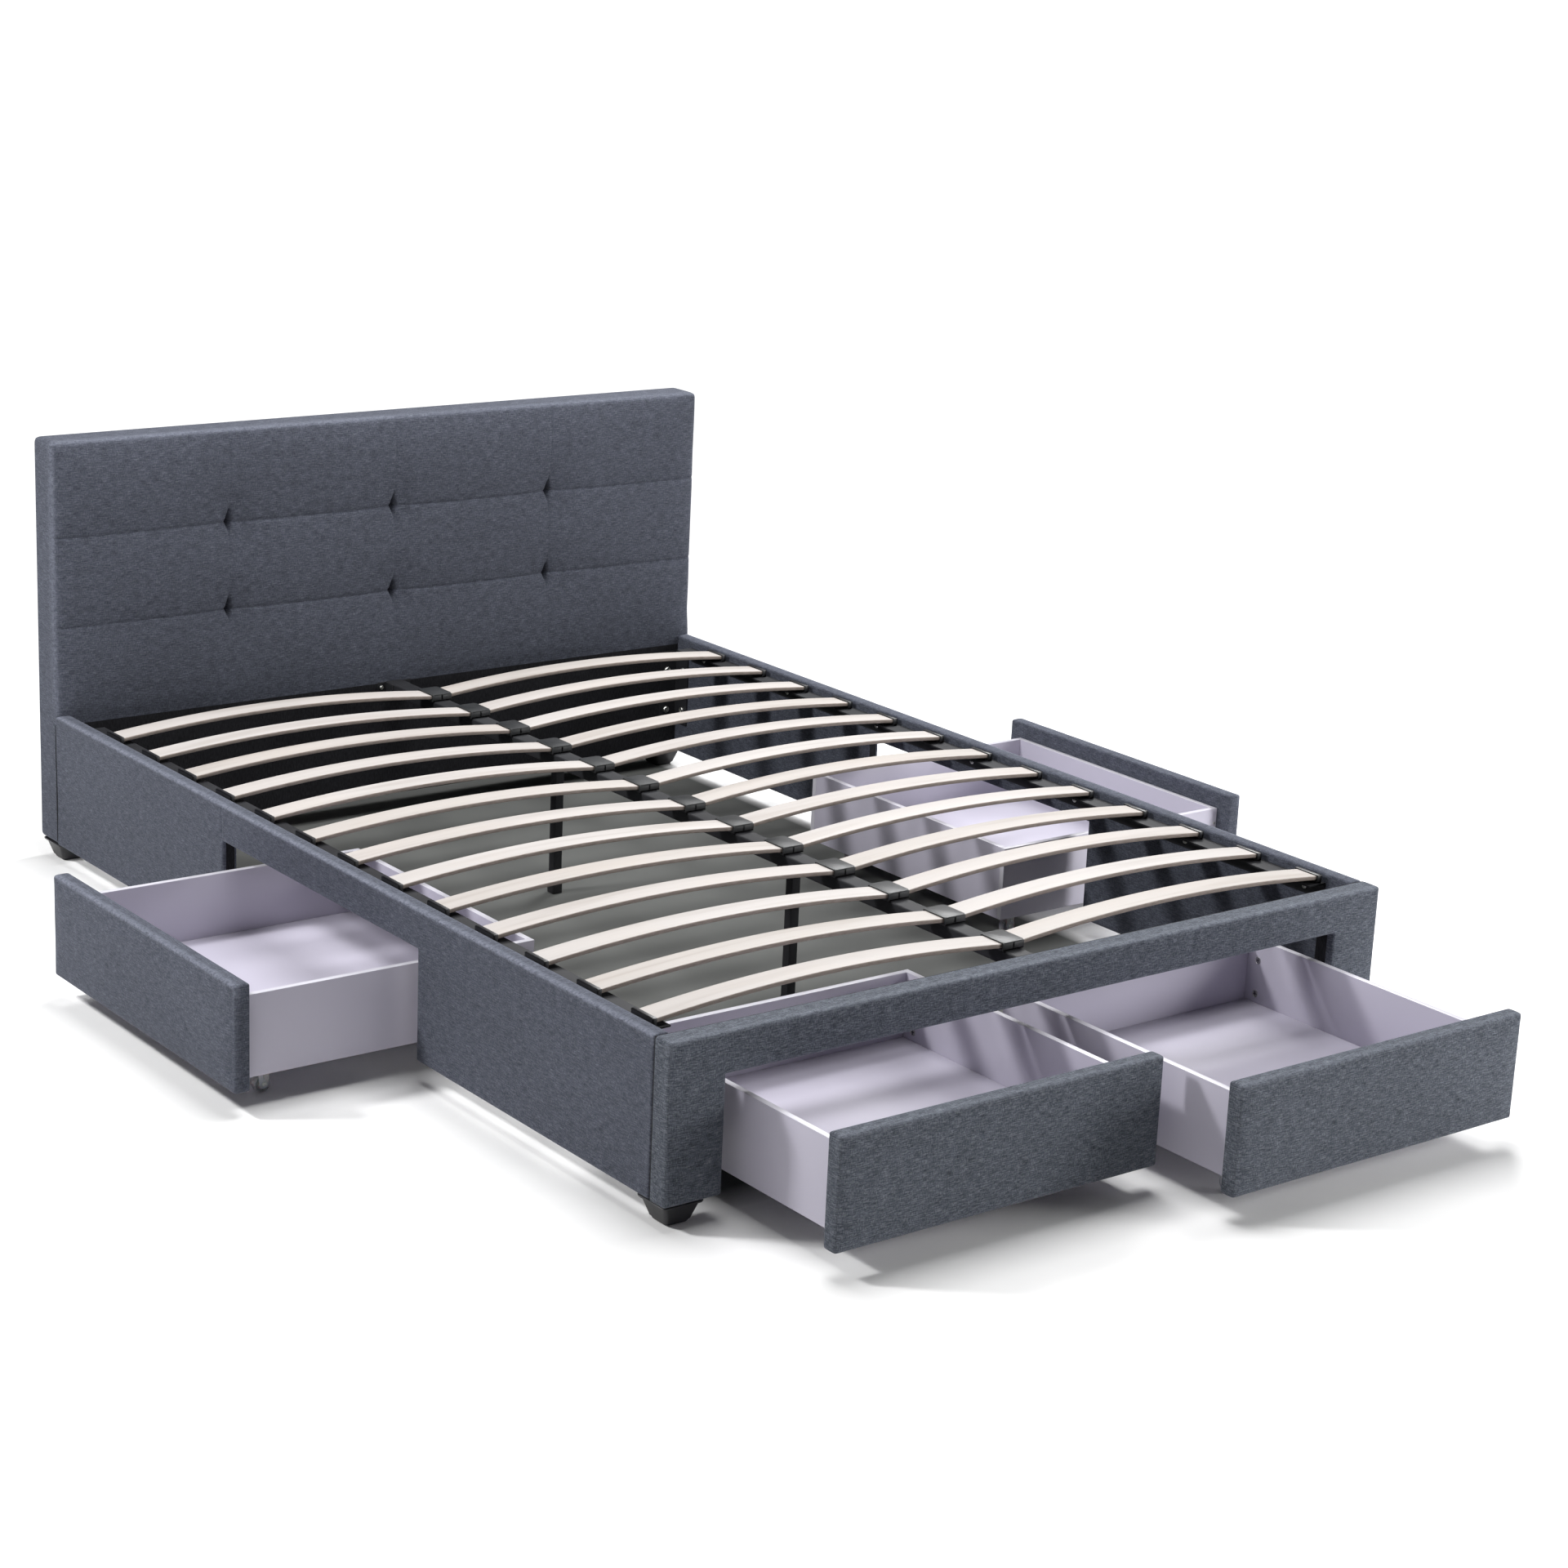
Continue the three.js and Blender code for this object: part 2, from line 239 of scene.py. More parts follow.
def lining():
    """Thin black non-woven cloth with pressed dots."""
    n = surface("black_lining", (0.012, 0.012, 0.014), 0.9, Specular_IOR_Level=0.2)
    uv = n.uv()
    cell = n.add("ShaderNodeTexVoronoi", {"Vector": uv, "Scale": 300})
    fibres = n.noise(n.scaled(uv, (400, 90, 1)), detail=3.0)
    colour = n.ramp(fibres, [(0.3, (0.007, 0.007, 0.009)), (0.7, (0.019, 0.019, 0.022))])
    return n.finish(colour, None, n.bump(cell.outputs["Distance"], 0.3, 0.0004))


def birch(name, base, pore, seed):
    """Pale rotary-cut birch veneer under satin lacquer, its grain along the slat."""
    n = surface(name, base, 0.58, Specular_IOR_Level=0.25, Coat_Weight=0.05, Coat_Roughness=0.45)
    uv = n.uv()
    moved = n.scaled(uv, (1, 1, 1), offset=(seed * 3.1, seed * 1.7, 0))
    sweep = n.noise(n.scaled(moved, (2.2, 34, 1)), detail=3.0, distortion=0.9)
    fine = n.noise(n.scaled(moved, (16, 900, 1)), detail=2.0)
    cloud = n.noise(n.scaled(moved, (3.5, 12, 1)), detail=2.0)
    light = tuple(min(1.0, c * 1.05) for c in base)
    warm = tuple(c * f for c, f in zip(base, (1.04, 0.97, 0.90)))
    colour = n.ramp(sweep, [(0.30, pore), (0.47, base), (0.66, light)])
    colour = n.mix(n.span(fine, 0.45, 0.75, 0.0, 0.30), colour, pore)
    colour = n.mix(n.span(cloud, 0.5, 0.8, 0.0, 0.35), colour, warm)
    rough = n.span(sweep, 0.3, 0.7, 0.52, 0.64)
    return n.finish(colour, rough, n.bump(fine, 0.12, 0.0003))


def ply_edge():
    """The cut edge of a slat: thin veneers with darker glue lines and end-grain pores."""
    n = surface("ply_edge", (0.23, 0.185, 0.155), 0.7, Specular_IOR_Level=0.3)
    uv = n.uv()
    veneer_pair = 0.00115
    layer = n.math("SINE", n.math("MULTIPLY", n.parts(uv)[1], 2 * math.pi / veneer_pair))
    flecks = n.noise(n.scaled(uv, (60, 1500, 1)), detail=2.0)
    bands = n.math("ADD", n.math("MULTIPLY", layer, 0.28), flecks)
    colour = n.ramp(
        bands, [(0.2, (0.12, 0.092, 0.076)), (0.5, (0.23, 0.19, 0.165)), (0.85, (0.36, 0.32, 0.29))]
    )
    return n.finish(colour, None, n.bump(bands, 0.25, 0.0003))


def melamine(name, base, spread):
    """Paper-faced board: a satin, very finely pebbled film with a few faint scuffs."""
    n = surface(name, base, 0.40, Specular_IOR_Level=0.42)
    at = n.place()
    cloud = n.noise(at, scale=2.6, detail=3.0)
    dark = tuple(c * (1 - spread) for c in base)
    light = tuple(min(1.0, c * (1 + spread)) for c in base)
    colour = n.ramp(cloud, [(0.3, dark), (0.5, base), (0.7, light)])
    scuff = n.noise(n.scaled(at, (9, 9, 60), 0.4), detail=4.0, roughness=0.7)
    colour = n.mix(n.span(scuff, 0.66, 0.80, 0.0, 0.16), colour, dark)
    pebble = n.noise(at, scale=1400, detail=1.0)
    rough = n.span(cloud, 0.3, 0.7, 0.34, 0.48)
    return n.finish(colour, rough, n.bump(pebble, 0.10, 0.0002))


def powder_coat():
    """Black powder coat on steel: fine orange peel and faint lighter dusty patches."""
    n = surface("black_powder_coat", (0.014, 0.015, 0.017), 0.62, Specular_IOR_Level=0.25)
    at = n.place()
    peel = n.noise(at, scale=650, detail=2.0)
    cloud = n.noise(at, scale=5, detail=3.0)
    colour = n.ramp(cloud, [(0.3, (0.010, 0.010, 0.012)), (0.7, (0.022, 0.023, 0.026))])
    dust = n.noise(at, scale=40, detail=4.0, roughness=0.7)
    colour = n.mix(n.span(dust, 0.62, 0.85, 0.0, 0.15), colour, (0.09, 0.09, 0.095))
    return n.finish(colour, n.span(cloud, 0.3, 0.7, 0.56, 0.70), n.bump(peel, 0.25, 0.0003))


def moulded(name, base, roughness):
    """Injection-moulded plastic with a fine spark-eroded grain."""
    n = surface(name, base, roughness, Specular_IOR_Level=0.45)
    at = n.place()
    spark = n.noise(at, scale=900, detail=2.0)
    cloud = n.noise(at, scale=14, detail=3.0)
    light = tuple(c * 1.5 + 0.004 for c in base)
    colour = n.ramp(cloud, [(0.35, base), (0.75, light)])
    rough = n.span(cloud, 0.3, 0.7, roughness - 0.06, roughness + 0.08)
    return n.finish(colour, rough, n.bump(spark, 0.28, 0.0003))


def nylon(name, base, clear):
    """Milky castor nylon: light passes a little way in, with fine scratches that dull it in places.
    """
    inside = {"Subsurface_Weight": 0.3, "Subsurface_Scale": 0.004, "Transmission_Weight": clear}
    n = surface(name, base, 0.28, Specular_IOR_Level=0.5, **inside)
    at = n.place()
    cloud = n.noise(at, scale=120, detail=3.0)
    scratch = n.noise(n.scaled(at, (900, 120, 120)), detail=2.0)
    dark = tuple(c * 0.8 for c in base)
    colour = n.ramp(cloud, [(0.3, dark), (0.7, base)])
    rough = n.span(scratch, 0.35, 0.7, 0.22, 0.48)
    return n.finish(colour, rough, n.bump(scratch, 0.08, 0.0002))


def zinc():
    """Bright zinc plate with a faint brushed direction."""
    n = surface("zinc_plate", (0.62, 0.62, 0.60), 0.32, Metallic=1.0)
    at = n.place()
    brush = n.noise(n.scaled(at, (2500, 200, 200)), detail=2.0)
    cloud = n.noise(at, scale=90, detail=3.0)
    colour = n.ramp(cloud, [(0.3, (0.50, 0.50, 0.47)), (0.7, (0.68, 0.68, 0.66))])
    return n.finish(colour, n.span(brush, 0.3, 0.7, 0.24, 0.44), n.bump(brush, 0.06, 0.0001))


LINEN = linen(
    "slate_linen", (0.030, 0.034, 0.046), (0.061, 0.066, 0.087), (0.120, 0.128, 0.158), 0.15
)
# A lighter, greener copy of the slate linen for the foot panel and the foot drawer fronts: painted
# light, standing in for the brighter light on the foot end.
FOOT_LINEN_LIT = linen(
    "foot_linen", (0.030, 0.035, 0.045), (0.067, 0.074, 0.092), (0.138, 0.149, 0.174), 0.11
)
LINING = lining()
BIRCH = [
    birch("birch_a", (0.405, 0.378, 0.362), (0.360, 0.330, 0.310), 1),
    birch("birch_b", (0.420, 0.396, 0.382), (0.376, 0.348, 0.330), 2),
    birch("birch_c", (0.392, 0.364, 0.344), (0.344, 0.312, 0.288), 3),
]
PLY_EDGE = ply_edge()
BOARD = melamine("melamine_board", (0.455, 0.435, 0.515), 0.03)
BANDING = melamine("melamine_edge", (0.50, 0.49, 0.54), 0.02)
STEEL = powder_coat()
PLASTIC = moulded("black_plastic", (0.012, 0.012, 0.014), 0.42)
HOLDER_PLASTIC = moulded("holder_plastic", (0.016, 0.017, 0.018), 0.45)
WHEEL = nylon("castor_nylon", (0.46, 0.46, 0.49), 0.25)
FORK = nylon("castor_fork", (0.52, 0.52, 0.55), 0.10)
ZINC = zinc()

# ------------------------------------------------------------------ mesh helpers


def read(items, name, width=1, kind=np.float64):
    """A property of many mesh elements, as an array."""
    found = np.zeros(len(items) * width, kind)
    items.foreach_get(name, found)
    return found.reshape(-1, width) if width > 1 else found


def box_uv(mesh):
    """A UV map in metres, laid on each face along its main direction, for threads and grain."""
    layer = mesh.uv_layers.new(name="cloth")
    places = read(mesh.vertices, "co", 3)[read(mesh.loops, "vertex_index", kind=np.int32)]
    totals = read(mesh.polygons, "loop_total", kind=np.int32)
    main = np.repeat(np.abs(read(mesh.polygons, "normal", 3)).argmax(1), totals)
    out = np.where(main[:, None] == 0, places[:, [1, 2]], places[:, [0, 2]])
    out = np.where(main[:, None] == 2, places[:, [0, 1]], out)
    layer.data.foreach_set("uv", out.ravel())


def finished(name, mesh, materials, body, matrix, sharp, indices=None):
    """Puts a mesh in the row frame, as an object that rides on a body."""
    mesh.transform(matrix)
    for material in materials:
        mesh.materials.append(material)
    if indices is not None:
        mesh.polygons.foreach_set("material_index", np.asarray(indices, np.int32))
    mesh.polygons.foreach_set("use_smooth", [True] * len(mesh.polygons))
    mesh.set_sharp_from_angle(angle=math.radians(sharp))
    mesh.update()
    piece = bpy.data.objects.new(name, mesh)
    scene.collection.objects.link(piece)
    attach(piece, body)
    return piece


def from_lists(name, verts, faces, materials, body, matrix, sharp, indices, uvs=True):
    """A finished piece from its points and faces, with each face's material."""
    mesh = bpy.data.meshes.new(name)
    mesh.from_pydata([tuple(v) for v in verts], [], [tuple(f) for f in faces])
    if uvs:
        box_uv(mesh)
    return finished(name, mesh, materials, body, matrix, sharp, indices)


def from_bmesh(name, bm, materials, body, matrix=BED, sharp=40):
    """A finished piece from a bmesh, which it frees."""
    bmesh.ops.recalc_face_normals(bm, faces=bm.faces)
    mesh = bpy.data.meshes.new(name)
    bm.to_mesh(mesh)
    bm.free()
    box_uv(mesh)
    return finished(name, mesh, materials, body, matrix, sharp)


def round_edges(bm, edges, radius, segments):
    rounding = {"profile": 0.5, "affect": "EDGES", "clamp_overlap": True, "material": 0}
    bmesh.ops.bevel(bm, geom=list(edges), offset=radius, segments=segments, **rounding)


def add_block(bm, corner, opposite, bevel=0.0, segments=2):
    """A block between two opposite corners, with rounded edges."""
    verts = bmesh.ops.create_cube(bm, size=1.0)["verts"]
    low = [min(pair) for pair in zip(corner, opposite)]
    high = [max(pair) for pair in zip(corner, opposite)]
    for v in verts:
        v.co = Vector([low[k] + (v.co[k] + 0.5) * (high[k] - low[k]) for k in range(3)])
    if bevel:
        round_edges(bm, {e for v in verts for e in v.link_edges}, bevel, segments)


def add_lathe(bm, profile, matrix, segments=32, material=0, closed=False):
    """Turns (radius, along) points about the X axis. An open profile starts and ends on it."""
    rings = []
    for radius, along in profile:
        if radius < 1e-7:
            rings.append([bm.verts.new(matrix @ Vector((along, 0, 0)))])
            continue
        ring = []
        for k in range(segments):
            a = 2 * math.pi * k / segments
            ring.append(
                bm.verts.new(matrix @ Vector((along, radius * math.cos(a), radius * math.sin(a))))
            )
        rings.append(ring)
    pairs = list(zip(rings, rings[1:]))
    if closed:
        pairs.append((rings[-1], rings[0]))
    for a, b in pairs:
        for k in range(segments):
            m = (k + 1) % segments
            corner = [a[k % len(a)], a[m % len(a)], b[m % len(b)], b[k % len(b)]]
            unique = []
            for v in corner:
                if v not in unique:
                    unique.append(v)
            if len(unique) > 2:
                bm.faces.new(unique).material_index = material


def add_prism(bm, outline, place, depth, bevel, segments):
    """Extrudes an outline. place turns (u, v, w) into a point, w running from 0 to depth."""
    low = [bm.verts.new(place(u, v, 0.0)) for u, v in outline]
    high = [bm.verts.new(place(u, v, depth)) for u, v in outline]
    caps = [bm.faces.new(low[::-1]), bm.faces.new(high)]
    count = len(outline)
    for k in range(count):
        bm.faces.new([low[k], low[(k + 1) % count], high[(k + 1) % count], high[k]])
    round_edges(bm, {e for f in caps for e in f.edges}, bevel, segments)


def facing(at, axis):
    """Puts a turned shape at a point, with its own X along axis."""
    turn = Vector((1, 0, 0)).rotation_difference(Vector(axis)).to_matrix().to_4x4()
    return Matrix.Translation(at) @ turn


def screw_head(bm, at, axis, radius, rise, material=1, segments=24):
    """A low domed screw head with a round socket, standing on a surface along axis."""
    socket = radius * 0.45
    profile = [
        (0.0, rise * 0.35),
        (socket * 0.96, rise * 0.35),
        (socket, rise * 0.45),
        (socket, rise * 0.96),
        (socket * 1.12, rise),
        (radius * 0.80, rise * 0.92),
        (radius * 0.97, rise * 0.55),
        (radius, rise * 0.15),
        (radius, -rise * 0.3),
        (0.0, -rise * 0.3),
    ]
    add_lathe(bm, profile, facing(at, axis), segments, material)


# ------------------------------------------------------------------ padded panels


def unit(values):
    return np.clip(values, 0, 1)


def nearest(values, places):
    """How far each value is from the nearest place."""
    return np.minimum.reduce([np.abs(values - place) for place in places])


def graded(breaks, step, marks):
    """Grid lines through every break, about step apart, closer at marks (place, spacing)."""
    lines = [breaks[0]]
    for a, b in zip(breaks, breaks[1:]):
        s = np.linspace(a, b, 2001)
        size = np.full_like(s, step)
        for place, spacing in marks:
            size = np.minimum(size, spacing + 0.30 * np.abs(s - place))
        total = np.concatenate([[0.0], np.cumsum((1 / size[1:] + 1 / size[:-1]) / 2 * np.diff(s))])
        count = max(1, math.ceil(total[-1] - 1e-6))
        inner = np.interp(np.linspace(0, total[-1], count + 1), total, s)
        lines += list(inner[1:])
    return np.array(lines)


def edge_distance(u, v, outline):
    """Distance from each point to the outline."""
    best = np.full(u.shape, 1e9)
    for (ax, ay), (bx, by) in zip(outline, outline[1:] + outline[:1]):
        dx, dy = bx - ax, by - ay
        t = np.clip(((u - ax) * dx + (v - ay) * dy) / (dx * dx + dy * dy), 0, 1)
        best = np.minimum(best, np.hypot(u - ax - t * dx, v - ay - t * dy))
    return best


def soften_corners(u, v, corners, radius):
    """Rounds the outline's outer corners, each given with the direction in which it points."""
    for cu, cv, su, sv in corners:
        a = ((u - cu) * su + radius) / radius
        b = ((v - cv) * sv + radius) / radius
        # Only the corner's own square moves. The bound is a little over 1 so that points on the
        # outline, which rounding may put just past it, still count.
        bound = 1.001
        near = (a > 0) & (b > 0) & (a < bound) & (b < bound)
        a2 = np.where(near, a * np.sqrt(1 - unit(b) ** 2 / 2), a)
        b2 = np.where(near, b * np.sqrt(1 - unit(a) ** 2 / 2), b)
        u = np.where(near, cu + (a2 * radius - radius) * su, u)
        v = np.where(near, cv + (b2 * radius - radius) * sv, v)
    return u, v


def swell(rest, faces, pin, pressure, cap):
    """Fills a closed cover with a little pressure by cloth simulation; pinned points hold."""
    frames, stiffness = 18, 18.0
    mesh = bpy.data.meshes.new("swell")
    mesh.from_pydata([tuple(v) for v in rest], [], [tuple(f) for f in faces])
    piece = bpy.data.objects.new("swell", mesh)
    scene.collection.objects.link(piece)
    group = piece.vertex_groups.new(name="hold")
    for value in np.unique(np.round(pin, 2)):
        if value > 0:
            where = [int(k) for k in np.nonzero(np.round(pin, 2) == value)[0]]
            group.add(where, float(value), "REPLACE")
    cloth = piece.modifiers.new("cloth", "CLOTH")
    s = cloth.settings
    s.quality = 6
    s.mass = 0.25
    s.air_damping = 2.0
    s.tension_stiffness = s.compression_stiffness = stiffness
    s.shear_stiffness = stiffness * 0.4
    s.bending_stiffness = 0.6
    s.use_pressure = True
    s.uniform_pressure_force = pressure
    s.effector_weights.gravity = 0
    s.vertex_group_mass = "hold"
    s.pin_stiffness = 1.0
    cloth.collision_settings.use_collision = False
    cloth.collision_settings.use_self_collision = False
    cloth.point_cache.frame_start = 1
    cloth.point_cache.frame_end = frames
    for number in range(1, frames + 1):
        scene.frame_set(number)
    depsgraph = bpy.context.evaluated_depsgraph_get()
    moved = np.zeros(len(rest) * 3)
    piece.evaluated_get(depsgraph).data.vertices.foreach_get("co", moved)
    scene.frame_set(1)
    bpy.data.objects.remove(piece)
    bpy.data.meshes.remove(mesh)
    shift = moved.reshape(-1, 3) - rest
    size = np.linalg.norm(shift, axis=1)
    if not np.all(np.isfinite(size)):
        raise ValueError("the cloth simulation ran away")
    keep = cap * np.tanh(size / cap) / np.maximum(size, 1e-9)
    return rest + shift * keep[:, None]


def padded_panel(
    name,
    body,
    us,
    vs,
    outline,
    thick,
    place,
    materials,
    rounds=(0.008, 0.005),
    corners=(),
    corner_radius=0.008,
    relief=None,
    groove=None,
    choose=None,
    hold=None,
    pressure=1.0,
    cap=0.004,
    matrix=BED,
    wall_layers=3,
    crest_highlight=None,
):
    """A closed upholstered panel: a graded grid inside the outline, with softly rounded edges.

    place turns (u, v, w) into a point; w runs from 0 at the back to thick at the face. relief is
    the face's height change before the cover is filled, groove the one sewn in afterwards.
    choose picks each face's material; the last argument sets the edge's painted highlight.
    """
    grid_u, grid_v = np.meshgrid(us, vs, indexing="ij")
    mid_u = (us[:-1] + us[1:]) / 2
    mid_v = (vs[:-1] + vs[1:]) / 2
    cell_u, cell_v = np.meshgrid(mid_u, mid_v, indexing="ij")
    inside = np.zeros(cell_u.shape, bool)
    for (ax, ay), (bx, by) in zip(outline, outline[1:] + outline[:1]):
        crosses = (ay > cell_v) != (by > cell_v)
        with np.errstate(divide="ignore", invalid="ignore"):
            at = (bx - ax) * (cell_v - ay) / (by - ay) + ax
        inside ^= crosses & (cell_u < at)
    used = np.zeros(grid_u.shape, bool)
    for du, dv in ((0, 0), (1, 0), (0, 1), (1, 1)):
        used[du : du + inside.shape[0], dv : dv + inside.shape[1]] |= inside
    away = edge_distance(grid_u, grid_v, outline)
    face_round, back_round = rounds
    if callable(face_round):
        face_round = face_round(grid_u, grid_v)

    def drop(radius):
        near = np.clip(radius - away, 0, radius)
        return radius - np.sqrt(radius * radius - near * near)

    face_w = thick - drop(face_round)
    back_w = drop(back_round)
    if relief is not None:
        face_w = face_w + relief(grid_u, grid_v, away)
    soft_u, soft_v = soften_corners(grid_u, grid_v, corners, corner_radius)
    number = -np.ones(grid_u.shape, int)
    number[used] = np.arange(used.sum())
    count = int(used.sum())
    flat_u, flat_v, flat_away = soft_u[used], soft_v[used], away[used]
    coords = [np.stack([flat_u, flat_v, w[used]], 1) for w in (face_w, back_w)]
    faces, kinds, rims = [], [], []
    padded = np.pad(inside, 1)
    for i, j in zip(*np.nonzero(inside)):
        ring = number[i, j], number[i + 1, j], number[i + 1, j + 1], number[i, j + 1]
        faces += [ring, tuple(count + k for k in ring[::-1])]
        kinds += [0, 1]
        for k, (di, dj) in enumerate(((1, 0), (2, 1), (1, 2), (0, 1))):
            if not padded[i + di, j + dj]:
                rims.append((ring[k], ring[(k + 1) % 4]))
    layers = {}
    extra = []
    base = 2 * count
    for k in sorted({k for rim in rims for k in rim}):
        top, low = coords[0][k], coords[1][k]
        ids = [k]
        for step in range(1, wall_layers):
            t = step / wall_layers
            ids.append(base + len(extra))
            extra.append(top * (1 - t) + low * t)
        ids.append(count + k)
        layers[k] = ids
    for a, b in rims:
        for step in range(wall_layers):
            top_a, top_b = layers[a][step], layers[b][step]
            low_a, low_b = layers[a][step + 1], layers[b][step + 1]
            faces.append((top_b, top_a, low_a, low_b))
            kinds.append(2)
    points = np.concatenate([*coords, np.array(extra)])
    rest = np.array([place(u, v, w) for u, v, w in points])
    kinds = np.array(kinds)
    if hold is not None:
        pin = np.ones(len(points))
        pin[:count] = unit(hold(flat_u, flat_v, flat_away))
        rest = swell(rest, faces, pin, pressure, cap)
    if groove is not None:
        inward = np.array(place(0, 0, 0)) - np.array(place(0, 0, 1))
        depth = groove(flat_u, flat_v, flat_away)
        rest[:count] += inward[None, :] * depth[:, None]
    chosen = kinds * 0
    if choose is not None:
        first = points[np.array([f[0] for f in faces])]
        third = points[np.array([f[2] for f in faces])]
        middle = (first + third) / 2
        chosen = choose(middle[:, 0], middle[:, 1], middle[:, 2] / thick, kinds)
    # The grid's own turning direction depends on place, so the faces are flipped to point out.
    probe = faces[int(np.nonzero(kinds == 0)[0][0])]
    corner = [Vector(rest[k]) for k in probe]
    normal = (corner[1] - corner[0]).cross(corner[2] - corner[0])
    outward = Vector(place(0, 0, 1)) - Vector(place(0, 0, 0))
    if normal.dot(outward) < 0:
        faces = [f[::-1] for f in faces]
    piece = from_lists(name, rest, faces, materials, body, matrix, 180, chosen)
    # A painted highlight: a paler line along the rounded crest, which the linen material mixes in.
    if crest_highlight is not None:
        highlight_strength = np.zeros(len(rest), np.float32)
        inset, width = 0.0024, 0.0030
        crest = np.exp(-(((flat_away - inset) / width) ** 2))
        highlight_strength[:count] = crest * crest_highlight(flat_u, flat_v)
        layer = piece.data.attributes.new("crest_highlight", "FLOAT", "POINT")
        layer.data.foreach_set("value", highlight_strength)
    fine = piece.modifiers.new("smooth", "SUBSURF")
    fine.levels = fine.render_levels = 1
    fine.uv_smooth = "NONE"
    return piece


def rectangle(half, low, high):
    """An outline of that half width, and its corners with the directions in which they point."""
    corners = [(-half, low, -1, -1), (half, low, 1, -1), (half, high, 1, 1), (-half, high, -1, 1)]
    return [corner[:2] for corner in corners], corners


def uneven(seed, length, height):
    """A relief of uneven padding that fades out at the edge."""
    return lambda u, v, away: ripple(u, v, seed, length, height) * unit(away / 0.02)


def held(share):
    """Holds a cover fast along its edge, and by a small share elsewhere."""
    return lambda u, v, away: unit(1 - away / 0.006) + share


def ripple(u, v, seed, length, height):
    """Gentle unevenness of the padding under a stretched cover."""
    total = np.zeros_like(u)
    for k in range(1, 6):
        angle = 1.7 * k + seed
        turns = 2 * math.pi / (length * (0.6 + 0.37 * k))
        total += np.sin(turns * (u * math.cos(angle) + v * math.sin(angle)) + 2.3 * k * seed) / k
    return height * total


def seam_line(distance, depth):
    """A sewn line: a narrow crease inside a wider soft hollow."""
    width, lip = 0.0016, 0.006
    crease = np.exp(-((distance / width) ** 2))
    hollow = np.exp(-np.abs(distance) / lip)
    return depth * (0.55 * crease + 0.45 * hollow)


# ------------------------------------------------------------------ headboard


def headboard():
    top, low = HEAD_TOP, PANEL_LOW
    cover_low = 0.300
    outline, corners = rectangle(HALF_WIDTH, low, top)
    u_marks = [(x, 0.0022) for x in TUFT_X] + [(-HALF_WIDTH, 0.0015), (HALF_WIDTH, 0.0015)]
    v_marks = [(z, 0.0018) for z in TUFT_Z] + [(low, 0.0015), (top, 0.0015), (cover_low, 0.004)]
    us = graded([-HALF_WIDTH, *TUFT_X, HALF_WIDTH], 0.014, u_marks)
    vs = graded([low, cover_low, *TUFT_Z, top], 0.013, v_marks)

    def tuft_fields(u, v):
        pit = np.zeros_like(u)
        dish = np.zeros_like(u)
        for x, z in TUFTS:
            du, dv = u - x, v - z
            slit = np.where(dv > 0, 0.030, 0.024)
            width = 0.0075 * unit(1 - np.abs(dv) / slit)
            across = unit(1 - np.abs(du) / np.maximum(width, 1e-5))
            pit = np.maximum(pit, across * unit(1 - (np.abs(dv) / slit) ** 1.5))
            dish += np.exp(-np.hypot(du, dv * 1.15) / 0.045)
        return pit, dish

    def relief(u, v, away):
        pit, dish = tuft_fields(u, v)
        fill = unit(away / 0.03)
        near = nearest(u, TUFT_X)
        fade = unit((v - TUFT_Z[0] + 0.06) / 0.06)
        across = nearest(v, TUFT_Z)
        lined = 0.0026 * np.exp(-across / 0.016) + 0.0018 * fade * np.exp(-near / 0.014)
        creases = np.zeros_like(u)
        for x, z in TUFTS:
            far, turn = np.hypot(u - x, v - z), np.arctan2(v - z, u - x)
            creases += 0.0011 * np.cos(7 * turn + 3 * x) * np.exp(-(((far - 0.030) / 0.020) ** 2))
        filled = (0.0010 - lined + creases) * fill
        return filled - 0.0110 * dish - 0.026 * pit + ripple(u, v, 1.0, 0.09, 0.0004)

    def groove(u, v, away):
        near = nearest(u, TUFT_X)
        across = nearest(v, TUFT_Z)
        fade = unit((v - TUFT_Z[0] + 0.09) / 0.09)
        high = unit((v - TUFT_Z[1]) / 0.06)
        line = 0.0022 * np.exp(-((across / 0.0022) ** 2))
        upright = (0.0007 + 0.0006 * high) * fade * np.exp(-((near / 0.0022) ** 2))
        return line + upright

    def hold(u, v, away):
        pit, _ = tuft_fields(u, v)
        edge = unit(1 - away / 0.012)
        below = unit((cover_low + 0.02 - v) / 0.02)
        across = nearest(v, TUFT_Z)
        sewn = 0.35 * np.exp(-((across / 0.003) ** 2))
        return np.maximum.reduce([edge, below, unit(pit * 4), sewn])

    piece = padded_panel(
        "headboard_cover",
        "bed_frame",
        us,
        vs,
        outline,
        HEAD_THICK,
        lambda u, v, w: (u, LENGTH + HEAD_THICK - w, v),
        [LINEN, LINING],
        rounds=(lambda u, v: 0.008 + 0.009 * unit((v - 0.33) / 0.05), 0.006),
        corners=corners,
        corner_radius=0.014,
        relief=relief,
        groove=groove,
        choose=lambda u, v, w, kinds: (kinds == 0) & (v < cover_low),
        # Painted highlight along the edge, stronger on the left half and above the lining.
        crest_highlight=lambda u, v: np.where(u < 0, 0.35, 0.2) * unit((v - 0.30) / 0.05),
        hold=hold,
        pressure=2.2,
        cap=0.007,
        wall_layers=5,
    )
    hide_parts("headboard")


# ------------------------------------------------------------------ rails and foot panel


def portal(start, end, open_start, open_end):
    return [
        (start, PANEL_LOW),
        (open_start, PANEL_LOW),
        (open_start, OPENING_TOP),
        (open_end, OPENING_TOP),
        (open_end, PANEL_LOW),
        (end, PANEL_LOW),
        (end, RAIL_TOP),
        (start, RAIL_TOP),
    ]


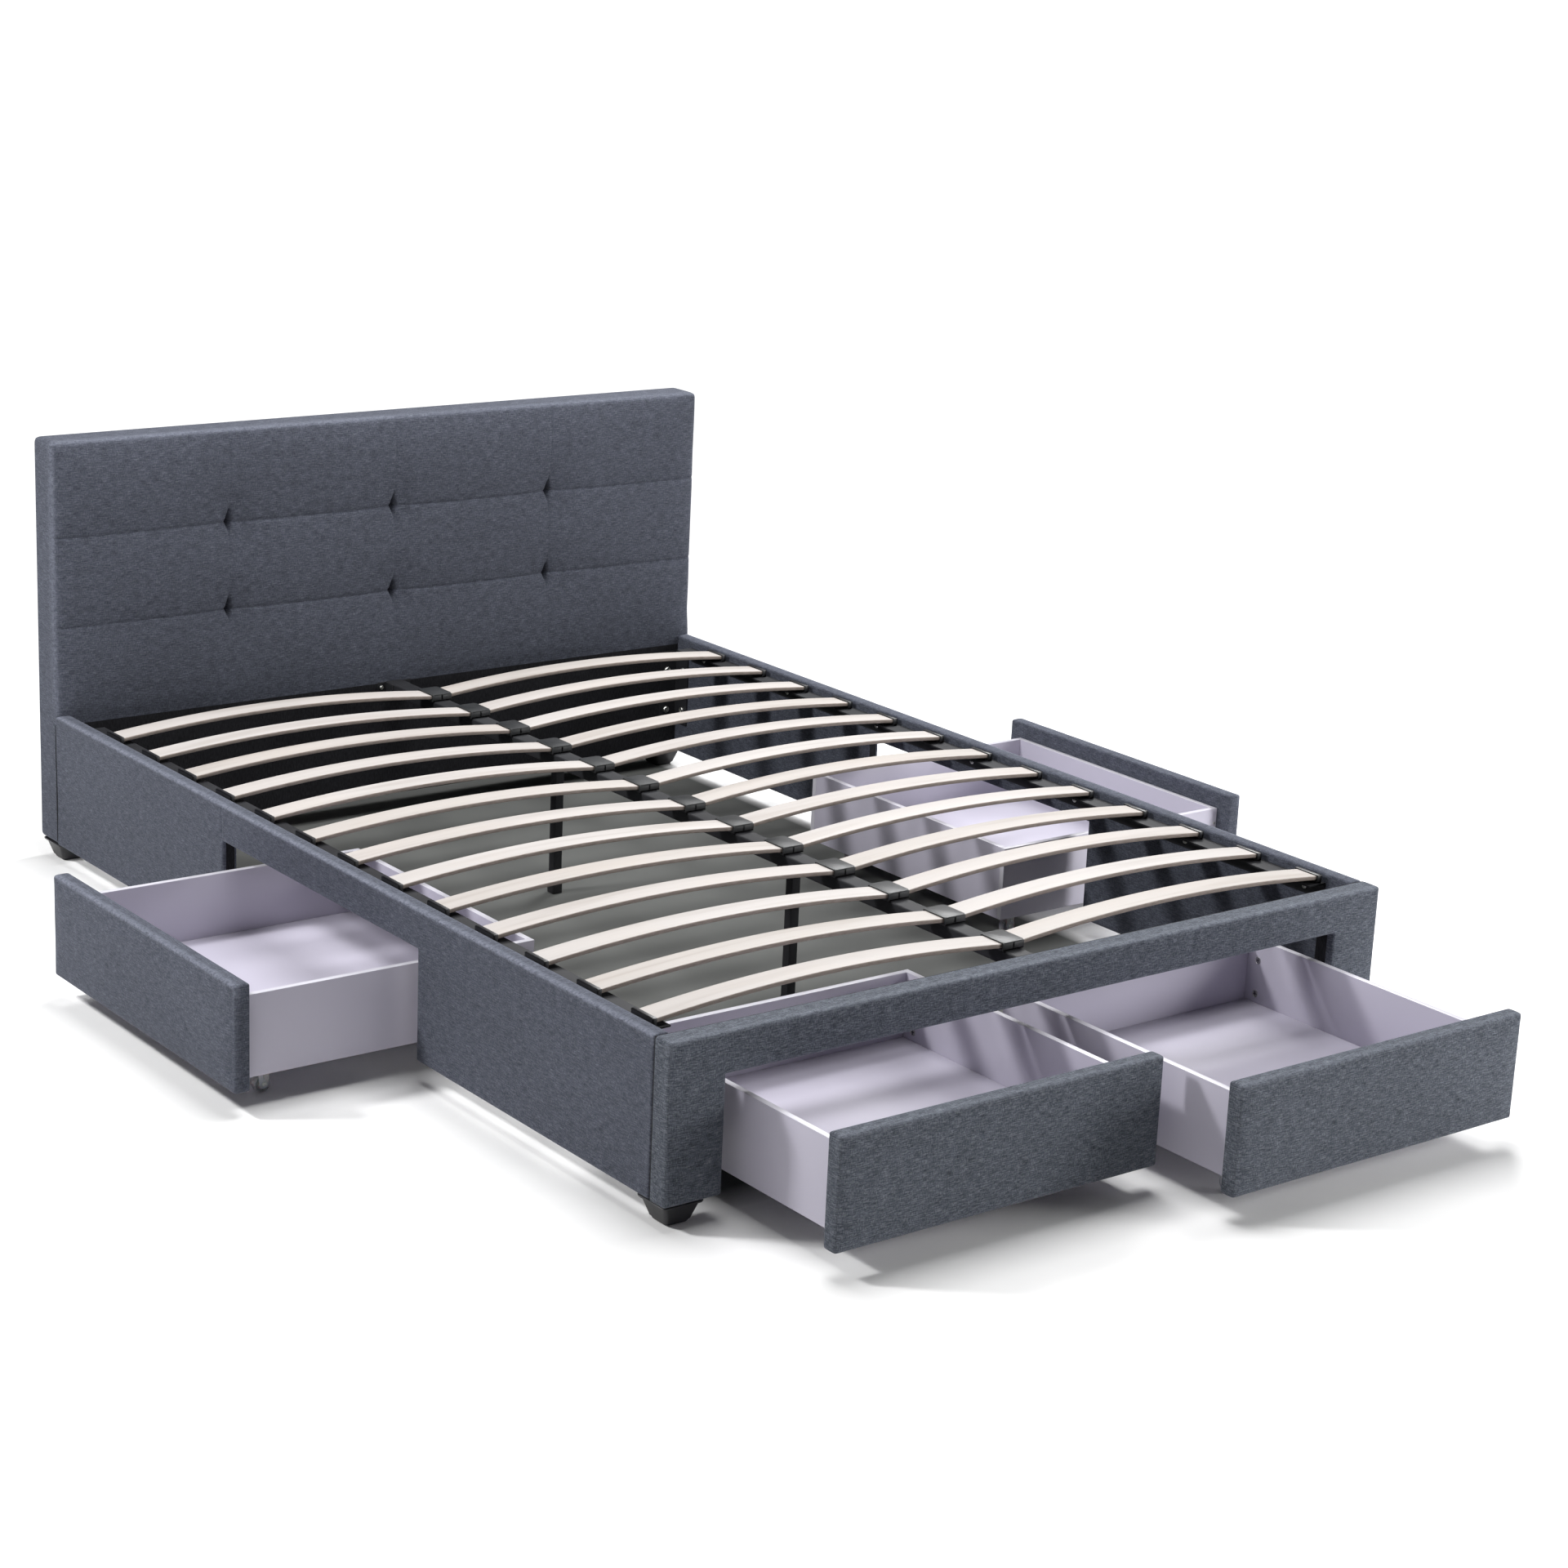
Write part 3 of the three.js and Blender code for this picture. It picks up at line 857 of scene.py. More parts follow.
def portal_corners(start, end, open_start, open_end):
    return [
        (start, PANEL_LOW, -1, -1),
        (open_start, PANEL_LOW, 1, -1),
        (open_end, PANEL_LOW, -1, -1),
        (end, PANEL_LOW, 1, -1),
        (end, RAIL_TOP, 1, 1),
        (start, RAIL_TOP, -1, 1),
    ]


def portal_lines(start, end, open_start, open_end, seams):
    edge = 0.0011
    u_marks = [(x, edge) for x in (start, end, open_start, open_end)]
    u_marks += [(x, 0.0013) for x in seams]
    v_marks = [(z, edge) for z in (PANEL_LOW, OPENING_TOP, RAIL_TOP)]
    us = graded(sorted({start, open_start, open_end, end, *seams}), 0.014, u_marks)
    vs = graded([PANEL_LOW, OPENING_TOP, RAIL_TOP], 0.013, v_marks)
    return us, vs


def in_reveal(u, v, w, kinds, half):
    """True on the black sides of an opening, behind the edge that the cover wraps round."""
    within = (np.abs(u) < half + 0.004) & (v < OPENING_TOP + 0.004)
    return (kinds == 2) & within & (w < 0.70)


def frame_panels():
    # The foot panel.
    inner = HALF_WIDTH - POST
    span = (-HALF_WIDTH, HALF_WIDTH, -inner, inner)
    us, vs = portal_lines(*span, ())
    foot = padded_panel(
        "foot_panel_cover",
        "bed_frame",
        us,
        vs,
        portal(*span),
        FOOT_THICK,
        lambda u, v, w: (u, FOOT_THICK - w, v),
        # The foot panel takes the lighter copy of the linen, which is painted light.
        [FOOT_LINEN_LIT, LINING],
        rounds=(0.0075, 0.005),
        corners=portal_corners(*span),
        corner_radius=0.006,
        relief=uneven(2.0, 0.11, 0.0003),
        choose=lambda u, v, w, kinds: (kinds == 1) | in_reveal(u, v, w, kinds, inner),
        hold=held(0.12),
        pressure=1.2,
        cap=0.0025,
        wall_layers=4,
        # Painted highlight along the edge, stronger on the top edge.
        crest_highlight=lambda u, v: 0.10 + 0.22 * (v > RAIL_TOP - 0.02),
    )
    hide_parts("foot_panel")
    # The side rails. A sewn joint stands above one end of the drawer opening, and the head end
    # runs on a little inside the headboard's rounded edge.
    start, end = RAIL_LOW.y - FOOT_LOW.y, RAIL_HIGH.y - FOOT_LOW.y + 0.012
    span = (start, end, *SIDE_OPENING)
    seams = (SIDE_OPENING[1] + 0.006,)
    us, vs = portal_lines(*span, seams)
    middle, half = sum(SIDE_OPENING) / 2, (SIDE_OPENING[1] - SIDE_OPENING[0]) / 2
    for side, sign in (("left", -1), ("right", 1)):
        base = sign * (HALF_WIDTH - RAIL_THICK)
        rail = padded_panel(
            f"side_rail_{side}_cover",
            "bed_frame",
            us,
            vs,
            portal(*span),
            RAIL_THICK,
            lambda u, v, w, base=base, sign=sign: (base + sign * w, u, v),
            [LINEN, LINING],
            rounds=(0.0075, 0.006),
            corners=portal_corners(*span),
            corner_radius=0.006,
            relief=uneven(3.0, 0.12, 0.0004),
            groove=lambda u, v, away: seam_line(u - seams[0], 0.0014)
            * unit((v - OPENING_TOP + 0.002) / 0.004),
            choose=lambda u, v, w, kinds: in_reveal(u - middle, v, w, kinds, half),
            hold=held(0.12),
            pressure=1.2,
            cap=0.0025,
            # Painted highlight along the edge, stronger on the top edge.
            crest_highlight=lambda u, v: 0.16 + 0.50 * (v > RAIL_TOP - 0.02),
        )
        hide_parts(f"side_rail_{side}")


# ------------------------------------------------------------------ steel under the slats


def ledgers():
    """Steel angles on the rails, with screws through the upright leg."""
    start, end = RAIL_LOW.y - FOOT_LOW.y + 0.060, RAIL_HIGH.y - FOOT_LOW.y - 0.060
    face = HALF_WIDTH - RAIL_THICK
    for side, sign in (("left", -1), ("right", 1)):
        bm = bmesh.new()
        sheet, bend = LEDGER_SHEET, 0.0035
        outer = [(0.0, BEAM_TOP - LEDGER_DROP), (0.0, BEAM_TOP - bend)]
        for k in range(1, 6):
            a = math.pi / 2 * k / 6
            outer.append((bend - bend * math.cos(a), BEAM_TOP - bend + bend * math.sin(a)))
        outer += [(bend, BEAM_TOP), (LEDGER_WIDTH, BEAM_TOP), (LEDGER_WIDTH, BEAM_TOP - sheet)]
        inner = [(sheet + 0.001, BEAM_TOP - sheet), (sheet, BEAM_TOP - sheet - 0.001)]
        outline = outer + inner + [(sheet, BEAM_TOP - LEDGER_DROP)]
        add_prism(
            bm,
            outline,
            lambda u, v, w: (sign * (face - u), start + w, v),
            end - start,
            0.0004,
            1,
        )
        count = 7
        for k in range(count):
            y = start + 0.05 + (end - start - 0.1) * k / (count - 1)
            at = (sign * (face - sheet), y, BEAM_TOP - 0.020)
            screw_head(bm, at, (-sign, 0, 0), 0.0055, 0.0026)
        piece = from_bmesh(f"ledger_{side}", bm, [STEEL, ZINC], "bed_frame")


def rounded_square(half_u, half_v, radius, steps=4):
    """A rectangle with round corners, anticlockwise."""
    points = []
    for cu, cv, first in (
        (half_u - radius, half_v - radius, 0),
        (radius - half_u, half_v - radius, 1),
        (radius - half_u, radius - half_v, 2),
        (half_u - radius, radius - half_v, 3),
    ):
        for k in range(steps + 1):
            a = (first + k / steps) * math.pi / 2
            points.append((cu + radius * math.cos(a), cv + radius * math.sin(a)))
    return points


def centre_beam():
    """The rolled steel tube that carries the inner slat ends, its brackets and two legs."""
    start, end = FOOT_THICK + 0.0003, LENGTH - 0.0003
    width, depth = BEAM_SIZE
    middle = BEAM_TOP - depth / 2
    bm = bmesh.new()
    outer = rounded_square(width / 2, depth / 2, 0.003)
    inner = rounded_square(width / 2 - 0.002, depth / 2 - 0.002, 0.0015)
    rings = []
    for y in (start, end):
        rings.append(
            [
                [bm.verts.new((u, y, middle + v)) for u, v in outer],
                [bm.verts.new((u, y, middle + v)) for u, v in inner],
            ]
        )
    count = len(outer)
    for k in range(count):
        m = (k + 1) % count
        (o0, i0), (o1, i1) = rings
        bm.faces.new([o0[k], o0[m], o1[m], o1[k]])
        bm.faces.new([i0[m], i0[k], i1[k], i1[m]])
        bm.faces.new([o0[m], o0[k], i0[k], i0[m]])
        bm.faces.new([o1[k], o1[m], i1[m], i1[k]])
    tube = from_bmesh("centre_beam_tube", bm, [STEEL], "bed_frame")
    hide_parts("centre_beam")
    # A saddle at each end holds the tube on its panel.
    for name, y, way in (("foot", start, 1), ("head", end, -1)):
        bm = bmesh.new()
        sheet, reach = 0.0024, 0.034
        half_sheet = sheet / 2
        low, top = middle - depth / 2 - sheet, BEAM_TOP - 0.001
        for sign in (-1, 1):
            near, far = sign * width / 2, sign * (width / 2 + 2 * half_sheet)
            add_block(bm, (near, y, low), (far, y + way * reach, top), 0.0006, 1)
            near, far = sign * (width / 2 + half_sheet), sign * (width / 2 + half_sheet + 0.020)
            add_block(bm, (near, y, low), (far, y + way * sheet, top), 0.0006, 1)
            at = (sign * (width / 2 + half_sheet + 0.011), y + way * sheet, middle)
            screw_head(bm, at, (0, way, 0), 0.0050, 0.0030)
        near, far = -width / 2 - sheet, width / 2 + sheet
        add_block(bm, (near, y, low), (far, y + way * reach, low + sheet), 0.0006, 1)
        saddle = from_bmesh(f"beam_saddle_{name}", bm, [STEEL, ZINC], "bed_frame")
    for number, y in enumerate(LEG_PLACES, 1):
        bm = bmesh.new()
        post = rounded_square(LEG_SIDE / 2, LEG_SIDE / 2, 0.0018)
        top = BEAM_TOP - depth
        add_prism(bm, post, lambda u, v, w: (u, y + v, LEG_CAP_TOP - 0.004 + w),
                  top - LEG_CAP_TOP + 0.004, 0.0003, 1)
        plate = rounded_square(width / 2 - 0.001, 0.030, 0.004)
        add_prism(bm, plate, lambda u, v, w: (u, y + v, top - 0.0025 + w), 0.0025, 0.0004, 1)
        for way in (-1, 1):
            at = (0, y + way * 0.021, top - 0.0025)
            screw_head(bm, at, (0, 0, -1), 0.0050, 0.0028)
        leg = from_bmesh(f"centre_leg_{number}", bm, [STEEL, ZINC], "bed_frame")
        bm = bmesh.new()
        cap = rounded_square(LEG_CAP / 2, LEG_CAP / 2, 0.0035)
        add_prism(bm, cap, lambda u, v, w: (u, y + v, w), LEG_CAP_TOP, 0.0014, 3)
        foot = from_bmesh(f"centre_leg_cap_{number}", bm, [PLASTIC], "bed_frame")


def corner_brackets():
    """A pressed steel angle joins each pair of panels, with two bolts through each leg."""
    face = HALF_WIDTH - RAIL_THICK
    low, high = 0.110, 0.285
    for place, y, way in (("foot", FOOT_THICK, 1), ("head", LENGTH, -1)):
        for side, sign in (("left", -1), ("right", 1)):
            bm = bmesh.new()
            reach, sheet, bend = 0.048, 0.0030, 0.0045
            outline = [(reach, 0.0), (bend, 0.0)]
            for k in range(1, 6):
                a = math.pi / 2 * k / 6
                outline.append((bend - bend * math.sin(a), bend - bend * math.cos(a)))
            outline += [(0.0, bend), (0.0, reach), (sheet, reach), (sheet, sheet + 0.0015)]
            outline += [(sheet + 0.0015, sheet), (reach, sheet)]
            add_prism(
                bm,
                outline,
                lambda u, v, w: (sign * (face - u), y + way * v, low + w),
                high - low,
                0.0005,
                1,
            )
            for z in (low + 0.035, high - 0.045):
                at = (sign * (face - sheet), y + way * 0.030, z)
                screw_head(bm, at, (-sign, 0, 0), 0.0080, 0.0050)
                at = (sign * (face - 0.030), y + way * sheet, z)
                screw_head(bm, at, (0, way, 0), 0.0080, 0.0050)
            piece = from_bmesh(f"corner_bracket_{place}_{side}", bm, [STEEL, ZINC], "bed_frame")


def corner_feet():
    """Tapered black feet with round corners and a shallow step over the sole."""
    for place in ("foot_left", "foot_right", "head_left", "head_right"):
        low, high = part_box(f"corner_foot_{place}")
        x, y = (low.x + high.x) / 2, (low.y + high.y) / 2
        bm = bmesh.new()
        half_top, half_sole = (high.x - low.x) / 2, 0.0225
        height = high.z
        levels = [
            (0.0, half_sole - 0.0025),
            (0.0006, half_sole - 0.0009),
            (0.0022, half_sole),
            (0.0050, half_sole + 0.0012),
            (0.0062, half_sole + 0.0030),
            (height - 0.006, half_top - 0.0055),
            (height - 0.004, half_top - 0.0012),
            (height - 0.0012, half_top - 0.0002),
            (height, half_top - 0.0012),
        ]
        rings = []
        for z, half in levels:
            radius = min(0.007, half * 0.3)
            square = rounded_square(half, half, radius)
            rings.append([bm.verts.new((x + u, y + v, z)) for u, v in square])
        for a, b in zip(rings, rings[1:]):
            for k in range(len(a)):
                m = (k + 1) % len(a)
                bm.faces.new([a[k], a[m], b[m], b[k]])
        bm.faces.new(rings[0][::-1])
        bm.faces.new(rings[-1])
        piece = from_bmesh(f"corner_foot_{place}_shape", bm, [PLASTIC], "bed_frame", Matrix(), 50)
        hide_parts(f"corner_foot_{place}")


# ------------------------------------------------------------------ slats and their holders


def slat(name, node, row, side):
    """A laminated slat bent to an arc, with rounded long edges and ply showing on its sides."""
    low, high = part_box(node)
    middle_y = (low.y + high.y) / 2
    inner, outer = (high.x, low.x) if side == "left" else (low.x, high.x)
    centre = (low.x + high.x) / 2
    half = abs(outer - inner) / 2
    radius = half * half / (2 * SLAT_RISE) + SLAT_RISE / 2
    wave = math.sin(row * 12.9898 + (0 if side == "left" else 4.1)) * 43758.5453
    part = wave - math.floor(wave)
    rise = (part - 0.5) * 0.0016
    edge = 0.0022
    half_width = SLAT_WIDTH / 2
    section = []
    for cu, cv, first in (
        (half_width - edge, SLAT_THICK - edge, 0),
        (edge - half_width, SLAT_THICK - edge, 1),
        (edge - half_width, edge, 2),
        (half_width - edge, edge, 3),
    ):
        for k in range(4):
            a = (first + k / 3) * math.pi / 2
            section.append((cu + edge * math.cos(a), cv + edge * math.sin(a)))
    steps = 40
    verts, faces, kinds = [], [], []
    count = len(section)
    for s in range(steps + 1):
        t = -1 + 2 * s / steps
        x = half * t
        base = low.z + math.sqrt(radius * radius - x * x) - (radius - SLAT_RISE)
        base += rise * (1 - t * t)
        lean = -x / radius
        for u, v in section:
            verts.append((centre + x - v * lean, middle_y + u, base + v))
    for s in range(steps):
        for k in range(count):
            m = (k + 1) % count
            faces.append((s * count + k, s * count + m, (s + 1) * count + m, (s + 1) * count + k))
            reach = min(abs(section[k][0]), abs(section[m][0]))
            kinds.append(1 if reach > half_width - edge * 0.75 else 0)
    faces.append(tuple(range(count))[::-1])
    faces.append(tuple(range(steps * count, (steps + 1) * count)))
    kinds += [1, 1]
    veneers = [BIRCH[(row * 2 + (side == "left")) % 3], PLY_EDGE]
    piece = from_lists(name, verts, faces, veneers, "bed_frame", Matrix(), 60, kinds, uvs=False)
    mesh = piece.data
    layer = mesh.uv_layers.new(name="cloth")
    offset = row * 0.83 + (0.37 if side == "left" else 0.0)
    for polygon in mesh.polygons:
        sided = polygon.material_index == 1
        for k in polygon.loop_indices:
            index = mesh.loops[k].vertex_index
            s, c = divmod(index, count)
            along = s / steps * 2 * half + offset
            u, v = section[c]
            layer.data[k].uv = (along, v) if sided else (along, u + (0.1 if v < edge else 0))
    # The faces were made in either turning direction, so all are turned to point out.
    bm = bmesh.new()
    bm.from_mesh(mesh)
    bmesh.ops.recalc_face_normals(bm, faces=bm.faces)
    bm.to_mesh(mesh)
    bm.free()
    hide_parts(node)
    return middle_y


def centre_holder(row, y):
    """A moulded double pocket on the beam that grips the inner ends of one row."""
    bm = bmesh.new()
    half_x, half_y = 0.024, SLAT_WIDTH / 2 + 0.0042
    base = BEAM_TOP + 0.0002
    slat_low = base + 0.0048
    top = RAIL_TOP - 0.0008
    # Sole on the beam, the top plate, the two long cheeks and a rib between the slat ends.
    add_block(bm, (-half_x, y - half_y, base), (half_x, y + half_y, slat_low - 0.0003), 0.0012, 2)
    plate = rounded_square(half_x, half_y, 0.0050, 5)
    roof = slat_low + SLAT_THICK + 0.0008
    add_prism(bm, plate, lambda u, v, w: (u, y + v, roof + w), top - roof, 0.0011, 3)
    for sign in (-1, 1):
        edge = y + sign * half_y
        inside = y + sign * (half_y - 0.0028)
        add_block(bm, (-half_x, edge, base), (half_x, inside, top - 0.0010), 0.0011, 2)
    add_block(bm, (-0.0016, y - half_y, slat_low - 0.0008), (0.0016, y + half_y, roof + 0.0004))
    piece = from_bmesh(f"slat_holder_{row}", bm, [HOLDER_PLASTIC], "bed_frame")


def end_cap(side, row, y):
    """A small pocket on the ledger that grips a slat's outer end."""
    sign = -1 if side == "left" else 1
    bm = bmesh.new()
    near, far = HALF_WIDTH - RAIL_THICK - 0.020, HALF_WIDTH - RAIL_THICK - 0.0100
    base = BEAM_TOP + 0.0002
    half_y = SLAT_WIDTH / 2 + 0.0034
    slat_low = base + 0.0040
    roof = slat_low + SLAT_THICK + 0.0016
    top = roof + 0.0022

    x0, x1 = sign * near, sign * far
    add_block(bm, (x0, y - half_y, base), (x1, y + half_y, slat_low - 0.0002), 0.0009, 2)
    add_block(bm, (x0, y - half_y, roof), (x1, y + half_y, top), 0.0010, 2)
    for way in (-1, 1):
        edge, inside = y + way * half_y, y + way * (half_y - 0.0024)
        add_block(bm, (x0, edge, base), (x1, inside, top - 0.0006), 0.0009, 2)
    x0 = sign * (far - 0.0035)
    add_block(bm, (x0, y - half_y, base), (x1, y + half_y, top), 0.0010, 2)
    piece = from_bmesh(f"slat_cap_{side}_{row}", bm, [PLASTIC], "bed_frame")


def slats():
    for row in range(1, SLAT_ROWS + 1):
        for side in ("left", "right"):
            y = slat(f"slat_{side}_{row}_board", f"slat_{side}_{row}", row, side)
            y -= FOOT_LOW.y
            end_cap(side, row, y)
        centre_holder(row, y)


# ------------------------------------------------------------------ drawers


def drawer_front(name, matrix):
    half = DRAWERS[name][0] / 2
    low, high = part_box(f"drawer_front_{name}")
    bottom, top = low.z, high.z
    outline, corners = rectangle(half, bottom, top)
    edge = 0.0011
    us = graded([-half, half], 0.013, [(-half, edge), (half, edge)])
    vs = graded([bottom, top], 0.012, [(bottom, edge), (top, edge)])
    seed = {"foot_left": 4.0, "foot_right": 5.0, "left": 6.0, "right": 7.0}[name]
    foot = name.startswith("foot")
    piece = padded_panel(
        f"drawer_front_{name}_cover",
        f"drawer_{name}",
        us,
        vs,
        outline,
        FRONT_THICK,
        lambda u, v, w: (u, FRONT_THICK - w, v),
        # The foot drawers take the lighter copy of the linen, which is painted light.
        [FOOT_LINEN_LIT if foot else LINEN, LINING],
        rounds=(0.0085, 0.005),
        corners=corners,
        corner_radius=0.0075,
        relief=uneven(seed, 0.10, 0.0004),
        hold=held(0.06),
        pressure=1.4,
        cap=0.004,
        matrix=matrix,
        # Painted highlight along the edge, stronger on the top edge and on the side drawers.
        crest_highlight=lambda u, v: (0.5 if foot else 1.0) * (0.22 + 0.40 * (v > top - 0.02)),
    )
    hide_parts(f"drawer_front_{name}")


def board(name, body, low, high, matrix, banded):
    """A faced board. banded lists the outward directions that show the brighter edge strip."""
    bm = bmesh.new()
    add_block(bm, low, high, 0.0007, 2)
    bm.normal_update()
    for f in bm.faces:
        if any(f.normal.dot(Vector(way)) > 0.9 for way in banded):
            f.material_index = 1
    piece = from_bmesh(name, bm, [BOARD, BANDING], body, matrix)
    return piece


def cam(bm, at, axis):
    """A cam lock pressed flush in a board: a disc with a raised rim and a cross in it."""
    radius = 0.0072
    matrix = facing(at, axis)
    profile = [
        (0.0, 0.0001),
        (radius * 0.80, 0.0001),
        (radius * 0.86, 0.0006),
        (radius * 0.97, 0.0006),
        (radius, 0.0002),
        (radius, -0.002),
        (0.0, -0.002),
    ]
    add_lathe(bm, profile, matrix, 28)
    for turned in (0, math.pi / 2):
        m = matrix @ Matrix.Rotation(turned, 4, "X")
        verts = bmesh.ops.create_cube(bm, size=1.0)["verts"]
        for v in verts:
            v.co = m @ Vector((v.co.x * 0.0006 + 0.0003, v.co.y * radius * 1.2, v.co.z * 0.0013))
        for f in {f for v in verts for f in v.link_faces}:
            f.material_index = 1


def drawer_box(name, matrix):
    body = f"drawer_{name}"
    half = DRAWERS[name][0] / 2 - BOX_INSET
    inner = half - WALL
    start, end = FRONT_THICK + 0.0003, FRONT_THICK + BOX_DEPTH
    up, down, back = (0, 0, 1), (0, 0, -1), (0, 1, 0)
    base_low, base_top = BASE_LOW, BASE_LOW + BASE
    for part, low, high, banded in (
        ("side_left", (-half, start, BOX_LOW), (-inner, end, BOX_TOP), (up, down, back)),
        ("side_right", (inner, start, BOX_LOW), (half, end, BOX_TOP), (up, down, back)),
        ("inner_front", (-inner, start, BOX_LOW), (inner, start + WALL, BOX_TOP), (up,)),
        ("back", (-inner, end - WALL, BOX_LOW), (inner, end, BOX_TOP), (up,)),
        ("base", (-inner, start + WALL, base_low), (inner, end - WALL, base_top), ()),
    ):
        board(f"drawer_{name}_{part}", body, low, high, matrix, banded)
    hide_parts(f"drawer_box_{name}")
    # Screws through the sides into the back and front boards, and cams on the inside.
    bm = bmesh.new()
    for sign in (-1, 1):
        for y in (start + WALL / 2, end - WALL / 2):
            for z in (BOX_LOW + 0.032, BOX_TOP - 0.032):
                at = (sign * half, y, z)
                screw_head(bm, at, (sign, 0, 0), 0.0035, 0.0007, material=0, segments=20)
        for y in (start + WALL + 0.026, end - WALL - 0.026):
            for z in (BOX_LOW + 0.045, BOX_TOP - 0.040):
                cam(bm, (sign * inner, y, z), (-sign, 0, 0))
    piece = from_bmesh(f"drawer_{name}_fittings", bm, [ZINC, PLASTIC], body, matrix)


def castor_places(name):
    x = DRAWERS[name][0] / 2 - BOX_INSET - 0.058
    near, far = FRONT_THICK + 0.070, FRONT_THICK + BOX_DEPTH - 0.070
    return [
        ("front_left", -x, near),
        ("front_right", x, near),
        ("back_left", -x, far),
        ("back_right", x, far),
    ]


def castor_fork(name, place, x, y, matrix):
    """A screwed plate with two rounded cheeks and the axle between them."""
    bm = bmesh.new()
    low = BASE_LOW - 0.0002
    plate = rounded_square(0.017, 0.021, 0.0045)
    add_prism(bm, plate, lambda u, v, w: (x + u, y + v, low - 0.0022 + w), 0.0022, 0.0006, 2)
    for sign in (-1, 1):
        outline = [(0.0135, low - 0.0015), (-0.0135, low - 0.0015)]
        for k in range(13):
            a = math.pi + math.pi * k / 12
            outline.append((0.0088 * math.cos(a), WHEEL_RADIUS + 0.0088 * math.sin(a)))
        inner = 0.0086
        first = x + (inner if sign > 0 else -inner - 0.0020)
        add_prism(bm, outline, lambda u, v, w: (first + w, y + u, v), 0.0020, 0.0005, 2)
        rib = (x + sign * 0.0104, y - 0.0009, WHEEL_RADIUS + 0.009)
        add_block(bm, rib, (x + sign * 0.0122, y + 0.0009, low - 0.0018), 0.0005, 1)
        at = (x + sign * 0.0106, y, WHEEL_RADIUS)
        screw_head(bm, at, (sign, 0, 0), 0.0042, 0.0016)
    pin = Matrix.Translation((x, y, WHEEL_RADIUS))
    add_lathe(bm, [(0, -0.0106), (0.0027, -0.0106), (0.0027, 0.0106), (0, 0.0106)], pin, 24, 1)
    for u in (-0.0125, 0.0125):
        for v in (-0.0165, 0.0165):
            at = (x + u, y + v, low - 0.0022)
            screw_head(bm, at, (0, 0, -1), 0.0026, 0.0010, segments=16)
    piece = from_bmesh(f"castor_fork_{name}_{place}", bm, [FORK, ZINC], f"drawer_{name}", matrix)


def castor_wheel(name, place, x, y, matrix):
    """A nylon wheel: rounded tread, dished sides with a raised hub, and the bore."""
    half = [
        (0.0031, 0.0076),
        (0.0036, 0.0080),
        (0.0058, 0.0080),
        (0.0064, 0.0075),
        (0.0067, 0.0052),
        (0.0074, 0.0045),
        (0.0118, 0.0042),
        (0.0126, 0.0050),
        (0.0131, 0.0065),
        (0.0140, 0.0070),
        (0.0152, 0.0067),
        (0.0161, 0.0056),
        (0.0165, 0.0038),
        (0.0165, 0.0012),
    ]
    profile = half + [(r, -a) for r, a in reversed(half)]
    bm = bmesh.new()
    add_lathe(bm, profile, Matrix.Translation((x, y, WHEEL_RADIUS)), 48, 0, closed=True)
    body = f"castor_{name}_{place}"
    piece = from_bmesh(f"wheel_{name}_{place}_shape", bm, [WHEEL], body, matrix, 50)
    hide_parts(f"wheel_{name}_{place}")


def drawers():
    for name in DRAWERS:
        matrix = drawer_matrix(name)
        drawer_front(name, matrix)
        drawer_box(name, matrix)
        for place, x, y in castor_places(name):
            castor_fork(name, place, x, y, matrix)
            castor_wheel(name, place, x, y, matrix)


# ------------------------------------------------------------------ floor, light and camera


def floor():
    """A pale floor. The patch that the bed covers is painted grey, a painted shadow under the bed.
    """
    bm = bmesh.new()
    size, sunk = 2.5, 0.0005
    corners = [(-size, -size), (size, -size), (size, size), (-size, size)]
    bm.faces.new([bm.verts.new((x, y, -sunk)) for x, y in corners])
    mesh = bpy.data.meshes.new("floor")
    bm.to_mesh(mesh)
    bm.free()
    n = surface("pale_floor", (0.90, 0.90, 0.90), 0.75, Specular_IOR_Level=0.2)
    at = n.place()
    x, y, _ = n.parts(at)
    # The painted shadow's middle lies a little toward the head, and each edge fades over a few
    # centimetres, from where it is bare floor to where it is full grey.
    toward_head, reach, fade = 0.18, 0.16, 0.08
    across = n.math("SUBTRACT", x, BED.translation.x)
    middle_y = BED.translation.y + LENGTH / 2 + toward_head
    away_y = n.math("ABSOLUTE", n.math("SUBTRACT", y, middle_y))
    from_left = n.span(across, 0.10 - HALF_WIDTH, 0.17 - HALF_WIDTH, 0.0, 1.0)
    to_right = n.span(across, HALF_WIDTH - 0.06, HALF_WIDTH - 0.02, 1.0, 0.0)
    shadow_across = n.math("MULTIPLY", from_left, to_right)
    shadow_along = n.span(away_y, LENGTH / 2 + reach - fade, LENGTH / 2 + reach, 1.0, 0.0)
    painted_shadow = n.math("MULTIPLY", shadow_across, shadow_along)
    mottle = n.noise(at, scale=7, detail=4.0)
    pale = n.ramp(mottle, [(0.3, (0.89, 0.89, 0.89)), (0.7, (0.92, 0.92, 0.915))])
    # The grey of the painted shadow under the bed.
    grey = n.ramp(mottle, [(0.3, (0.104, 0.107, 0.103)), (0.7, (0.115, 0.118, 0.113))])
    mesh.materials.append(n.finish(n.mix(painted_shadow, pale, grey)))
    plane = bpy.data.objects.new("floor", mesh)
    scene.collection.objects.link(plane)


